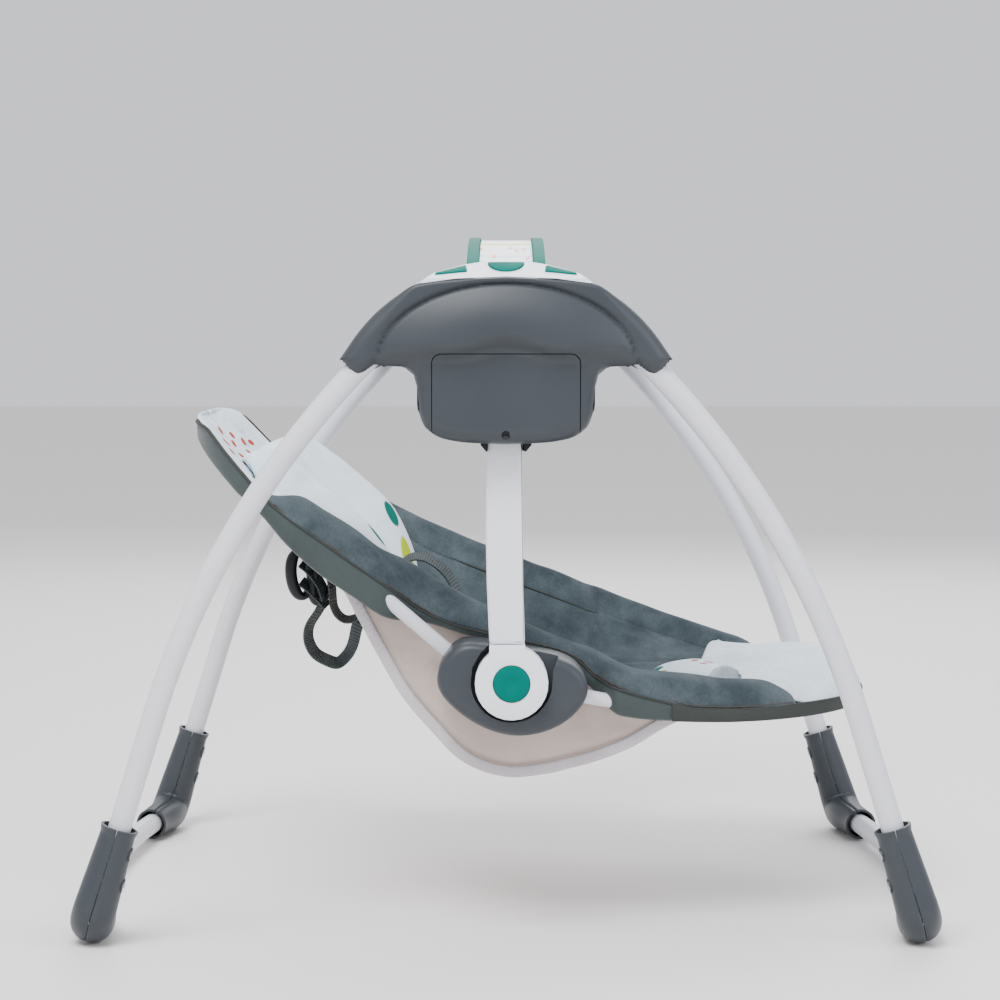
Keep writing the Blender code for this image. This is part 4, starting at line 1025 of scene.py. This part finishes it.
def softSwell(piece, cap, pressure=4.0, voxel=0.005):
    # cloth swollen by the batting inside it, with no point moving further than the cap
    steps = 20
    mesh = piece.data
    bm = bmesh.new()
    bm.from_mesh(mesh)
    trial = meshObject("swelling", bm)
    remesh = trial.modifiers.new("voxels", "REMESH")
    remesh.mode = "VOXEL"
    remesh.voxel_size = voxel
    bpy.context.view_layer.update()
    applyModifiers(trial)
    before = [v.co.copy() for v in trial.data.vertices]
    cloth = trial.modifiers.new("cloth", "CLOTH")
    cloth.settings.use_pressure = True
    cloth.settings.uniform_pressure_force = pressure
    cloth.settings.effector_weights.gravity = 0
    cloth.settings.quality = 5
    cloth.point_cache.frame_start = 1
    cloth.point_cache.frame_end = steps
    for frameNumber in range(1, steps + 1):
        bpy.context.scene.frame_set(frameNumber)
    depsgraph = bpy.context.evaluated_depsgraph_get()
    after = [v.co.copy() for v in trial.evaluated_get(depsgraph).to_mesh().vertices]
    trial.modifiers.clear()
    for vert, old, new in zip(trial.data.vertices, before, after):
        move = new - old
        vert.co = old + move * min(1.0, cap / max(1e-6, move.length))
    bpy.context.scene.frame_set(1)
    trial.data.materials.append(mesh.materials[0])
    layer = trial.data.uv_layers.new(name="cloth")
    for loop in trial.data.loops:
        co = trial.data.vertices[loop.vertex_index].co
        layer.data[loop.index].uv = (co.x - seatDims["headEnd"], co.y - seatDims["mapY"])
    piece.data = trial.data
    smoothFaces(piece)
    bpy.data.objects.remove(trial, do_unlink=True)
    return subdivided(piece)


def makeInsert():
    d = insertDims
    lean = radians(d["lean"])

    def surface(u, v, upper):
        a, b = 2 * u - 1, 2 * v - 1
        x = d["headEnd"] + (d["footEnd"] - d["headEnd"]) * v
        half = d["half"] * (1 - abs(b) ** 6) ** (1 / 6) * (1 - 0.10 * smoothstep(0.2, 1.0, v))
        half *= 1 - 0.20 * smoothstep(0.34, 0.0, v)
        y = a * max(0.004, half)
        round_ = sqrt(max(0.0, 1 - abs(a) ** 6)) * sqrt(max(0.0, 1 - abs(b) ** 6))
        wing = d["wing"] * exp(-((abs(y) - d["wingOut"]) / d["wingWidth"]) ** 2)
        wing *= (0.55 + 0.45 * smoothstep(1.0, 0.6, v)) * (d["nearWing"] if y < 0 else 1.0)
        cradle = d["cradle"] * exp(-((b + 0.72) / 0.22) ** 2) * (1 - a * a)
        thick = (d["centre"] + wing + cradle) * round_ if upper else 0.0
        groove = d["channel"] * exp(-((abs(y) - d["channelOut"]) / d["channelWidth"]) ** 2) if upper else 0.0
        base = innerSurface(x, y) + d["clearance"]
        out = thick - groove * round_ + (0.0012 * rippled(x, y, 0.03, 7.0) * round_ if upper else 0.0)
        return (x + sin(lean) * out, y, base + cos(lean) * out)
    bm = gridMesh(70, 80, lambda u, v: surface(u, v, True))
    lower = gridMesh(70, 80, lambda u, v: surface(u, v, False))
    spare = bpy.data.meshes.new("lower")
    lower.to_mesh(spare)
    lower.free()
    bm.from_mesh(spare)
    bpy.data.meshes.remove(spare)
    flatMap(bm, seatDims["headEnd"], seatDims["mapY"])
    cleanMesh(bm)
    closeMesh(bm)
    insert = finishMesh("infant_insert", bm, insertPrint, "seat")
    softSwell(insert, 0.005)
    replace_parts(insert, "body_insert")
    print("insert made")


def makeCrotchPiece():
    # small printed tab where the crotch strap comes up through the seat, falling gently towards the foot
    start, length, halfWidth, tall = 0.128, 0.082, 0.046, 0.0165

    def place(u, v):
        a, b = 2 * u - 1, 2 * v - 1
        x = start + length * v
        y = a * max(0.002, halfWidth * (1 - abs(b) ** 3) ** (1 / 3))
        crown = (1 - a ** 4) * (1 - b ** 4 if b < 0 else (1 - b ** 2) ** 2)
        return (x, y, innerSurface(x, y) + 0.0010 + tall * sqrt(max(0.0, crown)))
    bm = gridMesh(40, 40, place)
    flatMap(bm, start, -0.05)
    cleanMesh(bm)
    thicken(bm, 0.0030)
    tabPrint = printedJersey("printed white jersey tab", [
        (0.052, 0.040, 0.0036, 0.0050, 30, leafOrange), (0.058, 0.054, 0.0036, 0.0050, 60, leafOrange),
        (0.046, 0.062, 0.0036, 0.0050, 10, leafOrange), (0.007, 0.062, 0.0090, 0.0130, 30, leafTeal),
        (0.062, 0.068, 0.0034, 0.0046, 45, leafOrange), (0.010, 0.030, 0.0080, 0.0100, -30, leafGreen)])
    tab = finishMesh("crotch_tab", bm, tabPrint, "seat")


slingLow = smoothLine([(-0.140, 0.288), (-0.137, 0.284), (-0.125, 0.261), (-0.110, 0.233), (-0.088, 0.195),
                       (-0.062, 0.164), (-0.040, 0.1415), (-0.023, 0.132), (-0.006, 0.127), (0.006, 0.1255),
                       (0.034, 0.1285), (0.057, 0.134), (0.072, 0.138), (0.095, 0.146), (0.110, 0.153),
                       (0.133, 0.1670), (0.150, 0.1755)])
slingDims = {"half": 0.166, "corner": 0.018, "start": -0.139, "end": 0.149, "thickness": 0.0007, "hem": 0.0090}


def makeSling():
    d = slingDims
    sideStart, turnStart = 0.5, 0.40

    def place(u, v):
        a = 2 * u - 1
        side = -1 if a < 0 else 1
        x = d["start"] + (d["end"] - d["start"]) * v
        low, top = slingLow(x), max(slingLow(x) + 0.002, min(shellLow(x), pipeLine(x)) + 0.004)
        corner = min(d["corner"], (top - low) * 0.45)
        t = abs(a)
        if t > sideStart:
            s = (t - sideStart) / (1 - sideStart)
            z = low + corner + (top - low - corner) * s
            y = d["half"] + 0.0022 * rippled(x, z, 0.035, 3.0) * sin(pi * s)
        elif t > turnStart:
            turn = (t - turnStart) / (sideStart - turnStart) * pi / 2
            y = d["half"] - corner + corner * sin(turn)
            z = low + corner - corner * cos(turn)
        else:
            y = (d["half"] - corner) * t / turnStart
            z = low + 0.0015 * rippled(x, y, 0.05, 6.0) * (1 - (t / turnStart) ** 4)
        return (x, side * y, z)
    bm = gridMesh(90, 90, place)
    area = sum(face.calc_area() for face in bm.faces)
    thicken(bm, d["thickness"])
    sling = finishMesh("sling_cloth", bm, slingCloth, "seat")
    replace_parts(sling, "sling")

    # the overlocked hem that draws the lower edge in, near and far
    for sideName, side in bothSides:
        def hemPlace(u, v, side=side):
            x = d["start"] + (d["end"] - d["start"]) * v
            ahead = slingLow(min(d["end"], x + 0.002)) - slingLow(max(d["start"], x - 0.002))
            slope = atan2(ahead, 0.004)
            shift = -0.0010 + d["hem"] * u
            rib = 0.0003 * sin(x * 2600)
            return (x - sin(slope) * shift, side * (d["half"] + 0.0016 + rib + 0.0006 * sin(pi * u)),
                    slingLow(x) + cos(slope) * shift)
        bm = gridMesh(6, 320, hemPlace)
        thicken(bm, 0.0010)
        hem = finishMesh(f"sling_hem_{sideName}", bm, slingEdge, "seat")
    print("sling made")


def smoothPath(points, each=10):
    # more points on a smooth curve through a few
    line = [Vector(p) for p in points]
    line = [line[0] * 2 - line[1]] + line + [line[-1] * 2 - line[-2]]
    path = [curvePoint(*line[i - 1:i + 3], k / each) for i in range(1, len(line) - 2) for k in range(each)]
    return path + [line[-2]]


def strapPiece(name, points, width, turns):
    # a flat strap whose face turns from the first to the last of turns, in degrees from edge-on
    path = smoothPath(points)
    lengths = [0.0]
    for a, b in zip(path, path[1:]):
        lengths.append(lengths[-1] + (b - a).length)
    level = Vector((0, 1, 0))

    def place(u, v):
        i = min(len(path) - 1, int(round(v * (len(path) - 1))))
        along = (path[min(len(path) - 1, i + 1)] - path[max(0, i - 1)]).normalized()
        turn = radians(turns[0] + (turns[1] - turns[0]) * v)
        beside = along.cross(level).normalized()
        across = (level * cos(turn) + beside * sin(turn)).normalized()
        return path[i] + across * width * (u - 0.5)
    bm = gridMesh(4, len(path) - 1, place)
    layer = bm.loops.layers.uv["cloth"]
    for face in bm.faces:
        for loop in face.loops:
            u, v = loop[layer].uv
            loop[layer].uv = (u * width, v * lengths[-1])
    thicken(bm, 0.0013)
    return finishMesh(name, bm, webbingCloth, "seat", sharp=60)


def ringPiece(name, node, centre, halfAcross, halfTall, thick, deep, lean):
    # a moulded D ring with a flattened section
    def place(u, v):
        turn = 2 * pi * v
        round_ = Vector((halfAcross * cos(turn), 0, halfTall * sin(turn)))
        outward = Vector((cos(turn) / halfAcross, 0, sin(turn) / halfTall)).normalized()
        section = 2 * pi * u
        heavy = 1.0 + 0.55 * smoothstep(0.2, -0.9, cos(turn))
        spot = round_ + outward * thick * heavy * cos(section) + Vector((0, deep * sin(section), 0))
        spot = Matrix.Rotation(radians(lean), 3, "Y") @ spot
        spot = Matrix.Rotation(radians(18), 3, "Z") @ spot
        return Vector(centre) + spot
    bm = gridMesh(14, 64, place, wrap=True)
    bmesh.ops.remove_doubles(bm, verts=bm.verts, dist=0.00005)
    bmesh.ops.recalc_face_normals(bm, faces=bm.faces)
    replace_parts(finishMesh(name, bm, absBlack, "seat"), node)


def makeStraps():
    low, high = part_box("webbing_loop")
    y = (low[1] + high[1]) / 2
    loop = [(-0.159, y, 0.276), (-0.164, y, 0.262), (-0.1725, y - 0.004, 0.248), (-0.1735, y - 0.006, 0.2355),
            (-0.168, y - 0.004, 0.2235), (-0.158, y, 0.2165), (-0.148, y + 0.003, 0.2135),
            (-0.1394, y + 0.004, 0.2205), (-0.134, y + 0.003, 0.231), (-0.130, y, 0.247), (-0.122, y, 0.264),
            (-0.114, y + 0.002, 0.280)]
    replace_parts(strapPiece("webbing_strap_long", loop, 0.0165, (20, 40)), "webbing_loop")
    short = [(-0.156, y, 0.304), (-0.152, y - 0.002, 0.282), (-0.150, y - 0.003, 0.264),
             (-0.143, y - 0.002, 0.2545), (-0.134, y - 0.001, 0.2540), (-0.1255, y, 0.2600)]
    strapPiece("webbing_strap_short", short, 0.0165, (18, 16))
    strapPiece("webbing_strap_cross", [(-0.180, y, 0.302), (-0.172, y - 0.004, 0.296), (-0.163, y - 0.004, 0.284),
                                       (-0.158, y - 0.002, 0.270)], 0.016, (24, 26))
    strapPiece("webbing_strap_lower", [(-0.180, y, 0.286), (-0.172, y - 0.003, 0.280), (-0.164, y - 0.003, 0.272),
                                       (-0.157, y - 0.002, 0.264)], 0.016, (24, 24))
    strapPiece("webbing_strap_hanger", [(-0.166, y + 0.006, 0.322), (-0.169, y + 0.003, 0.310),
                                        (-0.170, y, 0.296)], 0.020, (36, 30))
    ringPiece("strap_slider_outer", "strap_retainer_a", (-0.1800, y - 0.002, 0.2925), 0.0085, 0.0195, 0.0034,
              0.0060, -6)
    ringPiece("strap_slider_inner", "strap_retainer_b", (-0.1610, y - 0.001, 0.2860), 0.0080, 0.0190, 0.0028,
              0.0055, 14)
    strapPiece("inside_strap", [(-0.092, -0.104, 0.2995), (-0.084, -0.103, 0.3065), (-0.073, -0.100, 0.3070),
                                (-0.060, -0.098, 0.3000), (-0.049, -0.096, 0.288), (-0.042, -0.096, 0.270),
                                (-0.038, -0.096, 0.250)], 0.018, (14, 24))
    print("straps made")


carrierDims = {"inner": 0.183, "outer": 0.236, "rounding": 0.0095, "recess": 0.0338, "recessFloor": 0.2190,
               "boss": (0.0046, 0.2155)}
carrierOutline = ((-0.0594, 0.2221), (-0.0443, 0.2468), (-0.0284, 0.2489), (-0.006, 0.2450), (0.0172, 0.2405),
                  (0.0347, 0.238), (0.0540, 0.2325), (0.0660, 0.2205), (0.0699, 0.2062), (0.0615, 0.1903),
                  (0.0439, 0.1764), (0.0250, 0.1705), (0.0079, 0.1686), (-0.018, 0.1736), (-0.0443, 0.1922),
                  (-0.0560, 0.2062))


def closedCurve(points, each=8):
    corners = [[Vector(points[(i + k) % len(points)]) for k in (-1, 0, 1, 2)] for i in range(len(points))]
    return [curvePoint(*four, k / each) for four in corners for k in range(each)]


def carrierBody(outline, side):
    # rings of points from the flat inner face round the eased outer edge, joined up
    d = carrierDims
    centre = Vector((0.006, 0.2085))
    inset = [(0.0035, d["inner"]), (0.0010, d["inner"] + 0.0006), (0.0, d["inner"] + 0.0035)]
    steps = 9
    for k in range(steps + 1):
        turn = pi / 2 * k / steps
        inset.append((d["rounding"] * (1 - cos(turn)), d["outer"] - d["rounding"] * (1 - sin(turn))))
    bm = bmesh.new()
    rings = []
    for shrink, away in inset:
        ring = []
        for spot in outline:
            toCentre = centre - spot
            ring.append(bm.verts.new((spot.x + toCentre.x / toCentre.length * shrink, side * away,
                                      spot.y + toCentre.y / toCentre.length * shrink)))
        for pair in zip(ring, ring[1:] + ring[:1]):
            bm.edges.new(pair)
        rings.append(ring)
    for first, second in zip(rings, rings[1:]):
        loops = [bm.edges.get(pair) for ring in (first, second) for pair in zip(ring, ring[1:] + ring[:1])]
        bmesh.ops.bridge_loops(bm, edges=loops)
    closeMesh(bm)
    return bm


def recessCutter(side):
    # the deep recess that the arm's boss turns in, open at the top
    x, z = carrierDims["boss"]
    r, steps = carrierDims["recess"], 40
    shape = [(r * cos(pi + pi * i / steps), r * sin(pi + pi * i / steps)) for i in range(steps + 1)]
    shape += [(r + 0.0008, 0.010), (r + 0.0060, 0.022), (r + 0.0095, 0.034), (r + 0.0095, 0.060),
              (-0.0185, 0.060), (-0.0185, 0.031), (-0.0255, 0.0245), (-0.0325, 0.012)]
    bm = bmesh.new()
    corners = [bm.verts.new((x + across, side * carrierDims["recessFloor"], z + up)) for across, up in shape]
    for pair in zip(corners, corners[1:] + corners[:1]):
        bm.edges.new(pair)
    cap = bmesh.ops.contextual_create(bm, geom=bm.edges[:])
    out = bmesh.ops.extrude_face_region(bm, geom=cap["faces"])
    bmesh.ops.translate(bm, verts=movedVerts(out), vec=(0, side * 0.05, 0))
    bmesh.ops.recalc_face_normals(bm, faces=bm.faces)
    return meshObject("recess", bm)


def makeCarriers():
    outline = closedCurve(carrierOutline)
    for _ in range(3):
        n = len(outline)
        outline = [sum((outline[(i + k) % n] for k in range(-4, 5)), Vector((0, 0))) / 9 for i in range(n)]
    for sideName, side in bothSides:
        carrier = finishMesh(f"recline_carrier_{sideName}_moulding", carrierBody(outline, side), absGrey, "seat",
                             sharp=40)
        booleanApply(carrier, recessCutter(side), "DIFFERENCE")
        edge = carrier.modifiers.new("eased edge", "BEVEL")
        edge.width = 0.0016
        edge.segments = 3
        edge.limit_method = "ANGLE"
        edge.angle_limit = radians(45)
        applyModifiers(carrier)
        smoothFaces(carrier, 38)
        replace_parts(carrier, f"recline_carrier_{sideName}")
    print("carriers made")


def makeHoops():
    # only the stretches of hoop between the carriers and the cover can be seen; the cover sleeves the rest
    half, radius, steps = 0.190, 0.0060, 30
    heads = [(-0.010 - 0.116 * i / steps, 0.2025 + 0.0992 * i / steps) for i in range(steps + 1)]
    feet = [0.022 + 0.10 * i / steps for i in range(steps + 1)]
    feet = [(x, 0.1855 + 0.85 * (x - 0.185) ** 2) for x in feet]
    for sideName, side in bothSides:
        for endName, line in (("head", heads), ("foot", feet)):
            points = [(x, side * half, z) for x, z in line]
            tube = tubePiece(f"{endName}_hoop_{sideName}", points, radius, tubeCoat, "seat", sides=24)
            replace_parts(tube, f"seat_hoop_{endName}")


def latheAlongY(name, profile, centre, side, material, body):
    # a turned shape about a Y axis; the profile is (radius, distance out) pairs from the middle
    bm = bmesh.new()
    verts = [bm.verts.new((centre[0] + r, side * out, centre[1])) for r, out in profile]
    edges = [bm.edges.new(pair) for pair in zip(verts, verts[1:])]
    bmesh.ops.spin(bm, geom=verts + edges, cent=(centre[0], 0, centre[1]), axis=(0, 1, 0), angle=2 * pi, steps=64,
                   use_merge=True)
    bmesh.ops.remove_doubles(bm, verts=bm.verts, dist=0.00002)
    closeMesh(bm)
    return finishMesh(name, bm, material, body, sharp=35)


def makeArms():
    for sideName, side in bothSides:
        socket = refinedNode(f"arm_socket_{sideName}", absBlack, "swing")
        window = roundedBox("window", 0.0150, 0.395, 0.4300, 0.0001, side * 0.2300, side * 0.2500)
        booleanApply(socket, window, "DIFFERENCE")
        refinedNode(f"swing_arm_{sideName}", absWhite, "swing", bevel=0.0042, segments=4)
        refinedNode(f"arm_boss_{sideName}", absWhite, "swing", bevel=0.0022, segments=3)
        low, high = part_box(f"recline_button_{sideName}")
        out = max(abs(low[1]), abs(high[1]))
        radius = (high[0] - low[0]) / 2
        profile = [(0.0, out - 0.0007), (0.0035, out - 0.0007), (0.0048, out - 0.0003), (0.0056, out - 0.00005),
                   (radius - 0.0020, out), (radius - 0.0009, out - 0.0003), (radius - 0.0003, out - 0.0011),
                   (radius - 0.0003, out - 0.0050), (0.0, out - 0.0050)]
        button = latheAlongY(f"recline_button_{sideName}_moulding", profile,
                             ((low[0] + high[0]) / 2, (low[2] + high[2]) / 2), side, absTeal,
                             f"recline_button_{sideName}")
        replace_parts(button, f"recline_button_{sideName}")
    print("arms made")


def printedPanelPlastic():
    # white ABS with a pad-printed pattern: thin waves, one stripe and a few dots
    material, tree, shader = newMaterial("pad printed white ABS", Roughness=0.32, IOR=1.53)
    place = addNode(tree, "ShaderNodeTexCoord")
    parts = addNode(tree, "ShaderNodeSeparateXYZ", {"Vector": (place, "Object")})
    wave = addNode(tree, "ShaderNodeTexWave", {"Vector": (place, "Object"), "Scale": 55.0, "Distortion": 3.5,
                                               "Detail": 1.0, "Detail Scale": 0.5}, bands_direction="Z")
    thin = rangeNode(tree, (wave, "Fac"), 0.86, 0.96, toHigh=0.8)
    colour = mixNode(tree, (thin, "Result"), hexColour("#EEF2F8"), hexColour("#A9C8E6"))
    stripeHeight = 0.5800
    height = addNode(tree, "ShaderNodeMath", {0: (parts, "Z"), 1: stripeHeight}, operation="SUBTRACT")
    away = addNode(tree, "ShaderNodeMath", {0: (height, "Value")}, operation="ABSOLUTE")
    stripe = rangeNode(tree, (away, "Value"), 0.0008, 0.0012, 1.0, 0.0)
    colour = mixNode(tree, (stripe, "Result"), (colour, "Result"), hexColour("#CFD93A"))
    for x, z, turn in ((-0.022, 0.5755, 20), (0.003, 0.5760, -10), (0.009, 0.5735, 30), (0.0150, 0.5748, 10),
                       (-0.010, 0.5680, 45), (0.018, 0.5660, -20)):
        colour = spotNode(tree, colour, (place, "Object"), (x, 0, z), (0, radians(turn), 0),
                          (0.0021, 10.0, 0.0012), 1.1, "#E8702A")
    feed(tree, shader, "Base Color", colour)
    return material


def makeTop():
    refinedNode("control_panel", absWhite, "root", bevel=0.0014, segments=3)
    for button in ("power_button", "speed_button", "music_button"):
        refinedNode(button, absTeal, button, bevel=0.0006, segments=2)
    refinedNode("toy_bar_panel", printedPanelPlastic(), "toy_bar", bevel=0.0004, segments=2)
    for end in ("head", "foot"):
        refinedNode(f"toy_bar_rail_{end}", absTeal, "toy_bar", bevel=0.0012, segments=3)
    paintNode(absGrey, "hub_far_cap", "battery_tray", "gearbox")
    paintNode(zincPlate, "drive_motor", "pivot_shaft_near", "pivot_shaft_far", "battery_cell_0_0",
              "battery_cell_0_1", "battery_cell_1_0", "battery_cell_1_1")
    print("top made")


makeInsert()
makeCrotchPiece()
makeSling()
makeStraps()
makeHoops()
makeCarriers()
makeArms()
makeTop()

setStage()
